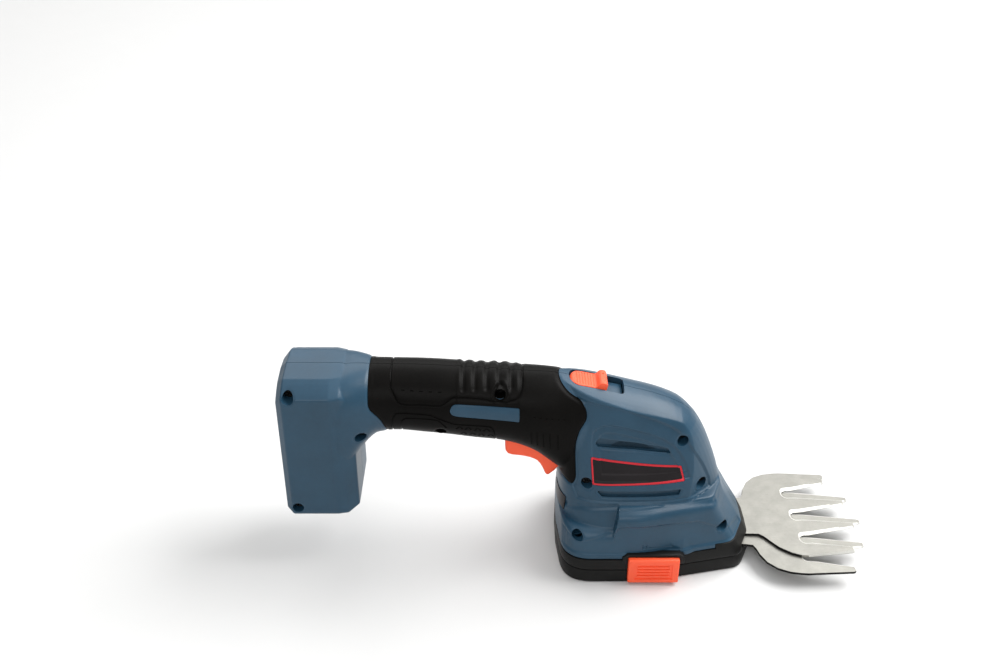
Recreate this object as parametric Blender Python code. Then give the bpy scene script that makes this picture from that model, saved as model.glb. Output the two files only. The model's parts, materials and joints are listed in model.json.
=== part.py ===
# Cordless shrub and grass shears, modelled at real size in metres.
# The sole of the foot is at z = 0, +X runs towards the blades and +Z is up.
import math

import bmesh
import bpy
from mathutils import Matrix, Vector

MM = 0.001
GAP = 0.3 * MM

# foot, black blade cassette
WIDEST_X = -35 * MM
FOOT_REAR = -68.2 * MM
FOOT_FRONT = 46.8 * MM
FOOT_HALF = 41.8 * MM
# corners of half the foot's outline, as (x, y, corner radius), it narrows by the taper
FOOT_TAPER = 10.2
FOOT_CORNERS = [(-64.8, FOOT_HALF / MM, 18), (-17, FOOT_HALF / MM, 90),
                (33.2, FOOT_HALF / MM - FOOT_TAPER, 7), (46, 8.6, 12)]
BASE_HEIGHT = 9.2 * MM
LOWER_BLADE_Z = 8.6 * MM
BLADE_THICKNESS = 1.4 * MM
FORK_THICKNESS = 2.4 * MM
CASSETTE_ROOF = 2 * MM
# the blades, the fork on them and a roof, with a gap over each
CASSETTE_CEILING = LOWER_BLADE_Z + 2 * (BLADE_THICKNESS + GAP) + FORK_THICKNESS + GAP
CASSETTE_HEIGHT = CASSETTE_CEILING + CASSETTE_ROOF
NOSE_HEIGHT = CASSETTE_HEIGHT + 2.9 * MM
NOSE_START = 22.5 * MM
CASSETTE_WALL = 2.2 * MM
SOLE_EDGE = 0.9 * MM

# head of the blue housing
HEAD_REAR = -68 * MM
REAR_POWER = 2.6
FRONT_POWER = 2.15
SKIRT_SETBACK = 0.5 * MM
SKIRT_HALF = FOOT_HALF - SKIRT_SETBACK
SKIRT_TOP = 49 * MM
SKIRT_LOW_TOP = 36 * MM
SKIRT_STEP_X = -36 * MM
SKIRT_ROUND = 8 * MM
LEDGE_Z = 48.5 * MM
LEDGE_HALF = 32 * MM
FLANK_SLOPE = 0.289
CROWN_RADIUS = 30 * MM
HEAD_WALL = 2.4 * MM
FLOOR = 2 * MM
# head's front edge on the middle plane, as (x, z)
FRONT_LINE = [(46.8, 3), (45.8, 9.5), (42.6, 16.5), (37.8, 25.2), (33, 33.2), (27.4, 44),
              (23.4, 57), (19, 69.5), (14, 81), (9.5, 89), (3, 97), (-4, 105), (-22, 125)]
# top line of the head on the middle plane, as (x, z)
CROWN_LINE = [(-100, 121), (-72, 117.6), (-60, 115.2), (-45, 111.8), (-30, 107.8), (-12, 102.5),
              (-2, 98.5), (12, 92), (60, 60)]

# handle
GRIP_SKIN = 1.6 * MM
CORE_INSET = GRIP_SKIN + GAP
HANDLE_WALL = 2.3 * MM
# handle sections as (x, top, bottom, half width)
HANDLE_LINE = [(-192, 122, 62, 21.5), (-182.5, 123.4, 66, 22.5), (-179, 123.4, 72.5, 21.9),
               (-175, 123.4, 77.6, 21.2), (-170.5, 123.5, 81.2, 20.7), (-165, 123.6, 82.7, 20.5),
               (-140, 123.0, 81.4, 20.5), (-115, 121.0, 77.2, 20.6), (-98, 119.7, 74.6, 20.9),
               (-88, 118.9, 71.6, 21.2), (-80, 118.3, 67.8, 21.5), (-74, 117.8, 63.0, 21.7),
               (-66, 116.6, 58.0, 21.3), (-58, 113.6, 59.0, 19.9), (-50, 109, 62, 17.6), (-44, 104, 66, 15.0)]
# outline of the black overmould seen from the side, as (x, z)
GRIP_OUTLINE = [(-172.4, 135), (-172.4, 107), (-166.2, 99.5), (-163.6, 91), (-163.6, 60),
                (-98, 60), (-72, 51), (-66, 57.5), (-60.6, 55.6), (-58.6, 61), (-59.3, 74),
                (-59.1, 84), (-57.2, 91), (-53.4, 96.5), (-53.6, 101), (-56.5, 106.5), (-64, 111.5),
                (-69.5, 117), (-72.4, 124), (-72.4, 135)]
WINDOW_OUTLINE = [(-128, 105.2), (-126.6, 108.4), (-123.8, 109.4), (-91, 106.6), (-91, 98.4),
                  (-123.8, 101.8), (-126.8, 102.8)]

# battery box at the rear end
BOX_FRONT = -181 * MM
BOX_BOTTOM = 35.5 * MM
BOX_TOP = 123.6 * MM
BOX_TOP_ROUND = (20 * MM, 9.5 * MM)
BOX_CHAMFER = 3 * MM
BOX_WALL = 2.4 * MM
CELL_RADIUS = 9.2 * MM
CELL_LENGTH = 65 * MM
CELL_GAP = 0.8 * MM
CELL_PITCH = 2 * CELL_RADIUS + CELL_GAP
HOLDER_WALL = 1.9 * MM
HOLDER_REACH = CELL_RADIUS + GAP + HOLDER_WALL
HOLDER_SIDE_ROOM = 3.1 * MM
HOLDER_FRONT_ROOM = 5.7 * MM
HOLDER_REAR_ROOM = 1.8 * MM
SOCKET_LENGTH = 5.6 * MM
CELL_X = BOX_FRONT - BOX_WALL - HOLDER_FRONT_ROOM - HOLDER_REACH
BOX_REAR = CELL_X - HOLDER_REACH - HOLDER_REAR_ROOM - SOCKET_LENGTH - GAP - BOX_WALL
BOX_HALF = CELL_PITCH / 2 + HOLDER_REACH + HOLDER_SIDE_ROOM + BOX_WALL
HOLDER_FLOOR_Z = 48 * MM
HOLDER_TOP_Z = 109 * MM
BOARD_THICKNESS = 1.6 * MM
SOCKET_HOLE_RADIUS = 2.2 * MM
SOCKET_Z = 57 * MM

# trigger and switch
TRIGGER_PIVOT = (-66.5 * MM, 70 * MM)
TRIGGER_HALF = 8 * MM
TRIGGER_TOP = 81.6 * MM
TRIGGER_REAR = -98.2 * MM
TRIGGER_OUTLINE = [(-98.2, 69), (-97, 66.6), (-94.4, 65.6), (-86.8, 64.4), (-81.6, 62.6), (-78.2, 60),
                   (-75.6, 55.6), (-73.6, 52.2), (-69.6, 54.4), (-66.2, 58.6), (-62.6, 62.4),
                   (-62.4, 71), (-64, 73.6), (-70, 75), (-76, 78)]
PIN_RADIUS = 1.5 * MM
PIN_HALF = 12 * MM
PLUNGER_X = -86 * MM
PLUNGER_RADIUS = 1.5 * MM
PLUNGER_LENGTH = 6 * MM
SWITCH_LENGTH = 20 * MM
SWITCH_HALF = 3.2 * MM
SWITCH_Z = (86 * MM, 96 * MM)
SPRING_WIRE = 0.35 * MM
TRIGGER_SPRING_X = -99.6 * MM
SPRING_SEAT_Z = 89.5 * MM

# lock-off slider, in a frame that lies along the sloping top
LOCK_X = -52 * MM
LOCK_Z = 113.5 * MM
LOCK_SLOPE = math.radians(12.5)
LOCK_HALF = 6.9 * MM
LOCK_REAR = -10.5 * MM
LOCK_FRONT = 10.5 * MM
LOCK_TRAVEL = 9.5 * MM
LOCK_PLATE_DEPTH = 5.4 * MM
LOCK_PLATE = 1.6 * MM
LOCK_STOP = 30 * MM

# drive: motor pinion, compound idler, crank gear
MOTOR_X = -25.8 * MM
IDLER_X = -10.8 * MM
CRANK_X = 6 * MM
FINE_MODULE = 0.6 * MM
COARSE_MODULE = 0.7 * MM
PINION_TEETH = 10
IDLER_TEETH = 40
IDLER_PINION_TEETH = 12
CRANK_TEETH = 36
CASE_RADIUS = 15.4 * MM
CASE_WALL = 1.8 * MM
CASE_BOTTOM = CASSETTE_HEIGHT + FLOOR + 2 * GAP
CASE_SPLIT = CASE_BOTTOM + 9.7 * MM
CASE_TOP = CASE_SPLIT + 17.5 * MM
MOTOR_RADIUS = 13.85 * MM
MOTOR_LENGTH = 33.2 * MM
MOTOR_BOTTOM = CASE_TOP + GAP
MOTOR_TOP = MOTOR_BOTTOM + MOTOR_LENGTH
MOTOR_WALL = 1.2 * MM
CRANK_THROW = 3.05 * MM
CRANK_PIN_RADIUS = 2 * MM
CRANK_DISC_RADIUS = 6.2 * MM

# blades
PIVOT_X = 30 * MM
TOOTH_PITCH = 20.4 * MM
TOOTH_ROOT_X = 75 * MM
TOOTH_ROOT_GAP = 6.6 * MM
TOOTH_TIP_HALF = 2.3 * MM
TIP_ARC_X = 43 * MM
LOWER_TIP_RADIUS = 71.6 * MM
UPPER_TIP_RADIUS = 67.0 * MM
UPPER_BLADE_Z = LOWER_BLADE_Z + BLADE_THICKNESS + GAP
REST_SWING = math.radians(3.9)
LOWER_SHOULDER = [(12, 13), (24, 16.5), (38, 20.2), (46.6, 21.6), (48.6, 28.6), (52.4, 36.6),
                  (58.1, 41.6), (64, 44.2), (72.5, 45.4)]
UPPER_SHOULDER = [(20, 9.5), (30, 12.5), (42, 14.4), (50.2, 15.2), (54.2, 20), (59, 27.6),
                  (65.4, 33), (72.5, 35.4)]
FORK_WALL = 3 * MM

# latches
LATCH_X = (-28.4 * MM, 0.6 * MM)
LATCH_Z = (2.2 * MM, 19.6 * MM)
LATCH_PROUD = 2 * MM
LATCH_TRAVEL = 3 * MM
LATCH_DEPTH = 4.6 * MM
LATCH_PAD_DEPTH = 5.6 * MM
LATCH_ROOM = 0.8 * MM
LATCH_SPRING = 5 * MM
LATCH_STOP_HALF = 1.2 * MM

# label panel on the right side, as (x, z)
NAMEPLATE_OUTLINE = [(-50.6, 74.7), (-49.4, 59.3), (2.3, 60.2), (0.1, 68.5)]
NAMEPLATE_DEPTH = 0.1 * MM
NAMEPLATE_THICKNESS = 0.6 * MM

# screws of the housing as (x, z, half width there), heads on the right side
SCREWS = {
    "box_screw_top": (BOX_REAR / MM + 7.5, 116.5, BOX_HALF / MM),
    "box_screw_bottom": (BOX_REAR / MM + 6.8, 42.4, BOX_HALF / MM),
    "neck_screw": (-177.6, 88.5, 20.0),
    "grip_screw_front": (-101, 113.0, 15.6),
    "grip_screw_rear": (-133.7, 88.5, 15.4),
    "head_screw_top": (0.4, 83.0, 15.5),
    "head_screw_front": (12.6, 54.5, 18.5),
    "head_screw_rear": (-52.5, 59.5, 26.5),
    "skirt_screw_rear": (-57.5, 31.5, 26.0),
    "skirt_screw_front": (25.6, 30.0, 28.6),
}
SCREW_HEAD_RADIUS = 2.9 * MM
SCREW_RADIUS = 1.4 * MM
SCREW_DEPTH = 5 * MM
BOSS_RADIUS = 4 * MM

# wires as their colour and the (x, y, z) points they run through
LEADS = {
    "lead_red": ("red", [
        (-187.4, -5, 100), (-183, -6, 104), (-172, -7, 106.5), (-150, -8, 107), (-125, -8, 106),
        (-110, -7, 104), (-101, -4, 101.5), (-98.6, 0, 98), (-97.2, 0, 94.8)]),
    "lead_black": ("black", [
        (-187.4, 5, 100), (-183, 6, 104), (-172, 7, 106.5), (-150, 8, 107), (-120, 9, 106),
        (-96, 9, 104), (-76, 9, 101), (-66, 10, 95), (-56, 11, 91), (-46, 11, 90),
        (-36, 10, 91), (-29, 8.6, 92), (-25.8, 8, 90.6), (-25.8, 8, 88.9)]),
    "lead_motor": ("red", [
        (-75.2, 0, 91), (-72, -3, 91), (-66, -7, 90.5), (-56, -11, 90), (-46, -11, 90),
        (-36, -10, 91), (-29, -8.6, 92), (-25.8, -8, 90.6), (-25.8, -8, 88.9)]),
}
LEAD_RADIUS = 0.8 * MM

COLOURS = {
    "blue": ((0.055, 0.13, 0.2), 0.5, 0),
    "black": ((0.012, 0.012, 0.013), 0.6, 0),
    "orange": ((0.85, 0.09, 0.02), 0.42, 0),
    "steel": ((0.62, 0.6, 0.57), 0.32, 1),
    "dark_steel": ((0.2, 0.2, 0.21), 0.4, 1),
    "white_plastic": ((0.75, 0.73, 0.68), 0.4, 0),
    "green": ((0.03, 0.2, 0.08), 0.45, 0),
    "brass": ((0.7, 0.5, 0.2), 0.3, 1),
    "cell_wrap": ((0.1, 0.35, 0.2), 0.35, 0),
    "red": ((0.6, 0.03, 0.03), 0.4, 0),
    "label": ((0.03, 0.028, 0.03), 0.35, 0),
}


def clear_scene():
    for item in list(bpy.data.objects):
        bpy.data.objects.remove(item, do_unlink=True)


def new_collection(name):
    group = bpy.data.collections.new(name)
    bpy.context.scene.collection.children.link(group)
    return group


def make_material(name):
    colour, roughness, metallic = COLOURS[name]
    material = bpy.data.materials.new(name)
    material.use_nodes = True
    shader = material.node_tree.nodes["Principled BSDF"]
    shader.inputs["Base Color"].default_value = (*colour, 1)
    shader.inputs["Roughness"].default_value = roughness
    shader.inputs["Metallic"].default_value = metallic
    material.diffuse_color = (*colour, 1)
    return material


def from_bmesh(bm, name="blank"):
    bmesh.ops.remove_doubles(bm, verts=bm.verts, dist=0.002 * MM)
    bmesh.ops.recalc_face_normals(bm, faces=bm.faces)
    mesh = bpy.data.meshes.new(name)
    bm.to_mesh(mesh)
    bm.free()
    blank = bpy.data.objects.new(name, mesh)
    workshop.objects.link(blank)
    return blank


def evaluated_mesh(blank):
    return bpy.data.meshes.new_from_object(blank.evaluated_get(bpy.context.evaluated_depsgraph_get()))


def closed_volume(mesh):
    # the volume of a closed mesh, or None for one that is open or pinched
    bm = bmesh.new()
    bm.from_mesh(mesh)
    closed = len(bm.faces) > 3 and all(len(edge.link_faces) == 2 for edge in bm.edges)
    volume = bm.calc_volume(signed=True) if closed else None
    bm.free()
    return volume


def plausible(result, first, second, operation):
    if result is None or first is None or second is None:
        return False
    slack = 0.02 * MM ** 3 + 1e-5 * first
    low, high = {"UNION": (max(first, second), first + second), "INTERSECT": (0, min(first, second)),
                 "DIFFERENCE": (first - second, first)}[operation]
    return low - slack <= result <= high + slack


def boolean(blank, tools, operation):
    for tool in tools:
        before, other = closed_volume(blank.data), closed_volume(tool.data)
        for solver in ("EXACT", "MANIFOLD"):
            step = blank.modifiers.new("boolean", "BOOLEAN")
            step.operation = operation
            step.object = tool
            step.solver = solver
            mesh = evaluated_mesh(blank)
            blank.modifiers.clear()
            if plausible(closed_volume(mesh), before, other, operation):
                break
        blank.data = mesh
    return blank


def cut(blank, *tools):
    return boolean(blank, tools, "DIFFERENCE")


def join(blank, *tools):
    return boolean(blank, tools, "UNION")


def keep(blank, *tools):
    return boolean(blank, tools, "INTERSECT")


def copy_of(blank):
    twin = bpy.data.objects.new("blank", blank.data.copy())
    twin.matrix_world = blank.matrix_world
    workshop.objects.link(twin)
    return twin


def moved(blank, matrix):
    blank.data.transform(matrix)
    if matrix.determinant() < 0:
        blank.data.flip_normals()
    return blank


def box(low, high):
    bm = bmesh.new()
    size = [b - a for a, b in zip(low, high)]
    middle = [(a + b) / 2 for a, b in zip(low, high)]
    bmesh.ops.create_cube(bm, size=1, matrix=Matrix.Translation(middle) @ Matrix.Diagonal((*size, 1)))
    return from_bmesh(bm)


def cylinder(start, axis, radius, length, segments=20, end_radius=None):
    bm = bmesh.new()
    turn = Vector((0, 0, 1)).rotation_difference(Vector(axis)).to_matrix().to_4x4()
    middle = Vector(start) + Vector(axis).normalized() * length / 2
    bmesh.ops.create_cone(bm, cap_ends=True, segments=segments, radius1=radius, depth=length,
                          radius2=radius if end_radius is None else end_radius,
                          matrix=Matrix.Translation(middle) @ turn)
    return from_bmesh(bm)


def plate(outline, thickness, matrix=Matrix(), holes=()):
    # a flat outline in its own X and Y, from z = 0 to its thickness
    curve = bpy.data.curves.new("outline", "CURVE")
    curve.dimensions = "2D"
    curve.fill_mode = "BOTH"
    curve.extrude = thickness / 2
    for loop in [outline, *holes]:
        spline = curve.splines.new("POLY")
        spline.points.add(len(loop) - 1)
        for point, (x, y) in zip(spline.points, loop):
            point.co = (x, y, 0, 1)
        spline.use_cyclic_u = True
    holder = bpy.data.objects.new("outline", curve)
    workshop.objects.link(holder)
    mesh = evaluated_mesh(holder)
    bpy.data.objects.remove(holder)
    bm = bmesh.new()
    bm.from_mesh(mesh)
    bm.transform(matrix @ Matrix.Translation((0, 0, thickness / 2)))
    return from_bmesh(bm)


def side_plate(outline, y_low, y_high):
    # an outline of (x, z) points, extruded along Y
    upright = Matrix.Translation((0, y_high, 0)) @ Matrix.Rotation(math.radians(90), 4, "X")
    return plate(outline, y_high - y_low, upright)


def tube(points, radius, sides=2):
    curve = bpy.data.curves.new("tube", "CURVE")
    curve.dimensions = "3D"
    curve.bevel_depth = radius
    curve.bevel_resolution = sides
    curve.use_fill_caps = True
    spline = curve.splines.new("POLY")
    spline.points.add(len(points) - 1)
    for point, place in zip(spline.points, points):
        point.co = (*place, 1)
    holder = bpy.data.objects.new("tube", curve)
    workshop.objects.link(holder)
    mesh = evaluated_mesh(holder)
    bpy.data.objects.remove(holder)
    bm = bmesh.new()
    bm.from_mesh(mesh)
    return from_bmesh(bm)


def loft(rings):
    bm = bmesh.new()
    rows = [[bm.verts.new(point) for point in ring] for ring in rings]
    for row, following in zip(rows, rows[1:]):
        for i in range(len(row)):
            j = (i + 1) % len(row)
            bm.faces.new((row[i], row[j], following[j], following[i]))
    bm.faces.new(rows[0][::-1])
    bm.faces.new(rows[-1])
    return from_bmesh(bm)


def facets(count, inset):
    # inner surfaces are coarser than the ones that show
    return count if inset < MM else 2 * round(count * 0.28)


def metres(points):
    return [(a * MM, b * MM) for a, b in points]


def along(line, value, key, result):
    # straight-line reading of a list of points
    rows = sorted(line, key=lambda row: row[key])
    if value <= rows[0][key]:
        return rows[0][result]
    for low, high in zip(rows, rows[1:]):
        if value <= high[key]:
            share = (value - low[key]) / (high[key] - low[key])
            return low[result] + share * (high[result] - low[result])
    return rows[-1][result]


def bulge(angle, reach, power):
    c, s = math.cos(angle), math.sin(angle)
    return (reach[0] * math.copysign(abs(c) ** (2 / power), c),
            reach[1] * math.copysign(abs(s) ** (2 / power), s))


def plan_ring(z, rear, front, half, segments):
    # a level section: blunt at the rear, running to a nose at the front
    ring = []
    for i in range(segments):
        angle = 2 * math.pi * i / segments
        ahead = math.cos(angle) > 0
        reach = (front - WIDEST_X if ahead else WIDEST_X - rear, half)
        x, y = bulge(angle, reach, FRONT_POWER if ahead else REAR_POWER)
        ring.append((WIDEST_X + x, y, z))
    return ring


def rounded_half(corners, steps):
    # half an outline from its corners: a short arc in each, ends on the middle plane
    ends = [(FOOT_REAR / MM, 0), (FOOT_FRONT / MM, 0)]
    stops = [ends[0]] + [corner[:2] for corner in corners] + [ends[1]]
    points = [ends[0], (ends[0][0], 9)]
    stops[0] = points[1]
    for i, (x, y, radius) in enumerate(corners, 1):
        here = Vector((x, y))
        back = (Vector(stops[i - 1]) - here).normalized()
        on = (Vector(stops[i + 1]) - here).normalized()
        half_angle = back.angle(on) / 2
        reach = radius / math.tan(half_angle)
        for step in range(steps + 1):
            t = step / steps
            spot = (1 - t) ** 2 * (here + back * reach) + 2 * t * (1 - t) * here
            spot += t * t * (here + on * reach)
            points.append((spot.x, spot.y))
    return points + [ends[1]]


def foot_ring(z, inset=0, width=FOOT_HALF):
    front = min(FOOT_FRONT, along(FRONT_LINE, z / MM, 1, 0) * MM)
    half = []
    for x, y in rounded_half(FOOT_CORNERS, 4 if inset < MM else 3):
        if x * MM > WIDEST_X:
            x = (WIDEST_X + (x * MM - WIDEST_X) * (front - WIDEST_X) / (FOOT_FRONT - WIDEST_X)) / MM
        half.append((x * MM, y * MM * width / FOOT_HALF))
    ring = half + [(x, -y) for x, y in reversed(half[1:-1])]
    return [(x, y, z) for x, y in grown(ring, -inset)]


def foot_prism(bottom, top, inset=0):
    return loft([foot_ring(bottom, inset), foot_ring(top, inset)])


def head_half(z):
    return LEDGE_HALF - FLANK_SLOPE * (z - LEDGE_Z)


def head_ring(z, inset):
    front = along(FRONT_LINE, z / MM, 1, 0) * MM - inset
    return plan_ring(z, HEAD_REAR + inset, front, head_half(z) - inset, facets(34, inset))


def crown_tool(inset):
    rings = []
    for x, top in CROWN_LINE:
        arch = []
        for i in range(9):
            y = CROWN_RADIUS * 1.5 * (i - 4) / 4
            arch.append((x * MM, y, top * MM - inset - y * y / (2 * CROWN_RADIUS)))
        floor = -20 * MM
        rings.append([(x * MM, -CROWN_RADIUS * 1.5, floor)] + arch + [(x * MM, CROWN_RADIUS * 1.5, floor)])
    return loft(rings)


def head_body(inset=0, bottom=CASSETTE_HEIGHT + GAP):
    levels = [bottom, 33 * MM, 48 * MM, 69.5 * MM, 81 * MM, 89 * MM, 97 * MM, 105 * MM, 122 * MM]
    body = loft([head_ring(z, inset) for z in levels])
    return keep(body, crown_tool(inset))


def skirt_half(z, top):
    # nearly upright, then rounding over towards the ledge
    below = top - SKIRT_ROUND
    half = SKIRT_HALF - 0.03 * (min(z, below) - CASSETTE_HEIGHT)
    if z > below:
        share = (z - below) / SKIRT_ROUND
        half -= SKIRT_ROUND * (1 - math.sqrt(max(0, 1 - share * share)))
    return half


def skirt_ring(z, inset, top):
    return foot_ring(z, inset, skirt_half(z + inset, top))


def skirt(inset=0, bottom=CASSETTE_HEIGHT + GAP):
    bodies = []
    for top in (SKIRT_LOW_TOP, SKIRT_TOP):
        levels = [bottom] + [top - inset - SKIRT_ROUND * s for s in (0.95, 0.5, 0.2, 0.03)]
        bodies.append(loft([skirt_ring(z, inset, top) for z in levels]))
    low, high = bodies
    ahead = box((SKIRT_STEP_X + inset, -60 * MM, 0), (60 * MM, 60 * MM, 60 * MM))
    keep(high, ahead)
    return join(low, high)


def handle_ring(x, top, bottom, half, inset):
    middle = (top + bottom) / 2
    height = (top - bottom) / 2 - inset
    ring = []
    count = facets(24, inset)
    for i in range(count):
        y, z = bulge(2 * math.pi * i / count, (half - inset, height), 2.1)
        ring.append((x, y, middle + z))
    return ring


def handle_body(inset=0):
    stations = [tuple(v * MM for v in row) for row in HANDLE_LINE]
    first, last = stations[0], stations[-1]
    stations[0] = (first[0] + inset, *first[1:])
    stations[-1] = (last[0] - inset, *last[1:])
    return loft([handle_ring(*station, inset) for station in stations])


def box_ring(x, inset):
    half = BOX_HALF - inset
    top = BOX_TOP - inset
    bottom = BOX_BOTTOM + inset
    wide, tall = (radius - inset / 2 for radius in BOX_TOP_ROUND)
    chamfer = BOX_CHAMFER - inset / 2
    corner = [(half - wide + wide * math.sin(math.radians(a)),
               top - tall + tall * math.cos(math.radians(a))) for a in range(0, 91, 18)]
    right = corner + [(half, bottom + chamfer), (half - chamfer, bottom)]
    left = [(-y, z) for y, z in reversed(right)]
    return [(x, y, z) for y, z in right + left]


def box_body(inset=0):
    rear, front = BOX_REAR + inset, BOX_FRONT - inset
    stations = [(rear, BOX_CHAMFER), (rear + BOX_CHAMFER, 0), (front - BOX_CHAMFER, 0), (front, BOX_CHAMFER)]
    return loft([box_ring(x, inset + extra) for x, extra in stations])


def whole_body(inset=0, head_inset=None):
    extra = inset if head_inset is None else head_inset
    body = box_body(inset)
    return join(body, handle_body(inset), head_body(extra), skirt(extra))


def grown(outline, margin):
    # an outline moved outwards by a margin, for clearances round it
    count = len(outline)
    area = sum(outline[i][0] * outline[(i + 1) % count][1] - outline[(i + 1) % count][0] * outline[i][1]
               for i in range(count))
    side = 1 if area > 0 else -1
    result = []
    for i, (x, z) in enumerate(outline):
        before, after = Vector(outline[i - 1]), Vector(outline[(i + 1) % count])
        here = Vector((x, z))
        first, second = (here - before).normalized(), (after - here).normalized()
        normal = Vector((first.y + second.y, -first.x - second.x)) * side
        normal = normal / max(normal.length, 1e-9)
        stretch = max(0.5, normal.dot(Vector((first.y, -first.x)) * side))
        shifted = here + normal * margin / stretch
        result.append((shifted.x, shifted.y))
    return result


def lock_frame():
    return Matrix.Translation((LOCK_X, 0, LOCK_Z)) @ Matrix.Rotation(LOCK_SLOPE, 4, "Y")


def lock_box(low, high):
    return moved(box(low, high), lock_frame())


def flatten(blank):
    # joins the flat faces that the cuts left in pieces
    bm = bmesh.new()
    bm.from_mesh(blank.data)
    bmesh.ops.dissolve_limit(bm, angle_limit=math.radians(1.6), verts=bm.verts, edges=bm.edges)
    bmesh.ops.triangulate(bm, faces=bm.faces)
    twins = {}
    for face in bm.faces:
        twins.setdefault(frozenset(vert.index for vert in face.verts), []).append(face)
    doubled = [face for group in twins.values() if len(group) > 1 for face in group]
    bmesh.ops.delete(bm, geom=doubled, context="FACES")
    trial = bpy.data.meshes.new("flat")
    bm.to_mesh(trial)
    bm.free()
    if closed_volume(trial):
        blank.data = trial


def finish(name, blank, colour, origin=(0, 0, 0), smooth=30):
    # names the piece and puts its origin where it turns, slides or sits
    flatten(blank)
    blank.name = name
    blank.data.name = name
    blank.data.transform(Matrix.Translation(-Vector(origin)))
    blank.location = origin
    blank.data.materials.clear()
    blank.data.materials.append(materials[colour])
    blank.data.shade_smooth()
    blank.data.set_sharp_from_angle(angle=math.radians(smooth))
    workshop.objects.unlink(blank)
    parts.objects.link(blank)
    return blank


def gear(teeth, module, thickness, bottom, bore, place, turn=0, backlash=0.12):
    # straight-flanked teeth, with room for the faceted mesh to run
    pitch = teeth * module / 2
    step = 2 * math.pi / teeth
    outline = []
    for i in range(teeth):
        for share, radius in ((-0.36, pitch - 1.2 * module), (-0.145 + backlash / 4, pitch + 0.95 * module),
                              (0.145 - backlash / 4, pitch + 0.95 * module), (0.36, pitch - 1.2 * module)):
            angle = turn + (i + share) * step
            outline.append((radius * math.cos(angle), radius * math.sin(angle)))
    hole = [(bore * math.cos(a), bore * math.sin(a)) for a in (-2 * math.pi * k / 16 for k in range(16))]
    return plate(outline, thickness, Matrix.Translation((place, 0, bottom)), [hole])


def comb(centres, shoulder, tip_radius, root):
    # blade outline: tail and shoulder, then tapering teeth with round gaps between
    half_root = (TOOTH_PITCH - TOOTH_ROOT_GAP) / 2
    outline = [(x, -y) for x, y in shoulder]
    for i, middle in enumerate(centres):
        tip = TIP_ARC_X + math.sqrt(tip_radius ** 2 - middle ** 2)
        first, last = i == 0, i == len(centres) - 1
        low = middle - TOOTH_TIP_HALF - (0.9 * MM if first else 0)
        high = middle + TOOTH_TIP_HALF + (0.9 * MM if last else 0)
        outline += [(tip - 1.6 * MM, low), (tip, low + 1.2 * MM),
                    (tip, high - 1.2 * MM), (tip - 1.6 * MM, high)]
        if not last:
            gap = middle + TOOTH_PITCH / 2
            radius = TOOTH_ROOT_GAP / 2
            outline.append((root + 3.2 * MM, middle + half_root))
            outline += [(root - radius * 0.9 * math.cos(a), gap - radius * math.sin(a))
                        for a in (math.radians(60), 0, math.radians(-60))]
            outline.append((root + 3.2 * MM, gap + radius))
    outline += [(x, y) for x, y in reversed(shoulder)]
    return outline


def spring(start, axis, radius, length, turns):
    turn = Vector((0, 0, 1)).rotation_difference(Vector(axis)).to_matrix()
    points = []
    count = turns * 8
    for i in range(count + 1):
        angle = 2 * math.pi * i / 8
        rise = SPRING_WIRE + (length - 2 * SPRING_WIRE) * i / count
        spot = Vector((radius * math.cos(angle), radius * math.sin(angle), rise))
        points.append(Vector(start) + turn @ spot)
    return tube(points, SPRING_WIRE, 1)


def screw(start, axis, head_radius, length):
    head = 2 * MM
    body = cylinder(start, axis, head_radius, head, 12)
    shank = cylinder(Vector(start) + Vector(axis) * head * 0.5, axis, SCREW_RADIUS, length - head * 0.5, 8)
    socket = cylinder(Vector(start) - Vector(axis) * MM, axis, 0.45 * head_radius, 2 * MM, 6)
    return cut(join(body, shank), socket)


def make_trigger():
    x, z = TRIGGER_PIVOT
    outline = metres(TRIGGER_OUTLINE) + [(-84 * MM, TRIGGER_TOP), (TRIGGER_REAR, TRIGGER_TOP)]
    body = side_plate(outline, -TRIGGER_HALF, TRIGGER_HALF)
    tail = box((TRIGGER_REAR - 4 * MM, -4 * MM, TRIGGER_TOP - 1.3 * MM),
               (TRIGGER_REAR + 2 * MM, 4 * MM, TRIGGER_TOP))
    post = box((x - 3 * MM, -2.4 * MM, z + 1 * MM), (x + 1 * MM, 2.4 * MM, z + 15 * MM))
    join(body, tail, post)
    cut(body, cylinder((x, -20 * MM, z), (0, 1, 0), PIN_RADIUS + 1.2 * GAP, 40 * MM, 16))
    return finish("trigger", body, "orange", (x, 0, z))


def trigger_opening():
    x, z = TRIGGER_PIVOT
    room = 0.6 * MM
    outline = metres([(-99, 66), (-95, 62), (-86, 60), (-79, 56), (-76, 47), (-72, 49.5), (-68.6, 53.6),
                      (-65.6, 57.6), (-61.6, 62.2), (-61.4, 74), (-66, 84)])
    outline += [(TRIGGER_REAR - room, TRIGGER_TOP + 3 * MM), (TRIGGER_REAR - room, 66 * MM)]
    return side_plate(outline, -TRIGGER_HALF - room, TRIGGER_HALF + room)


def boss_outline(name):
    x, z, half = SCREWS[name]
    return x * MM, z * MM, half * MM


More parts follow.
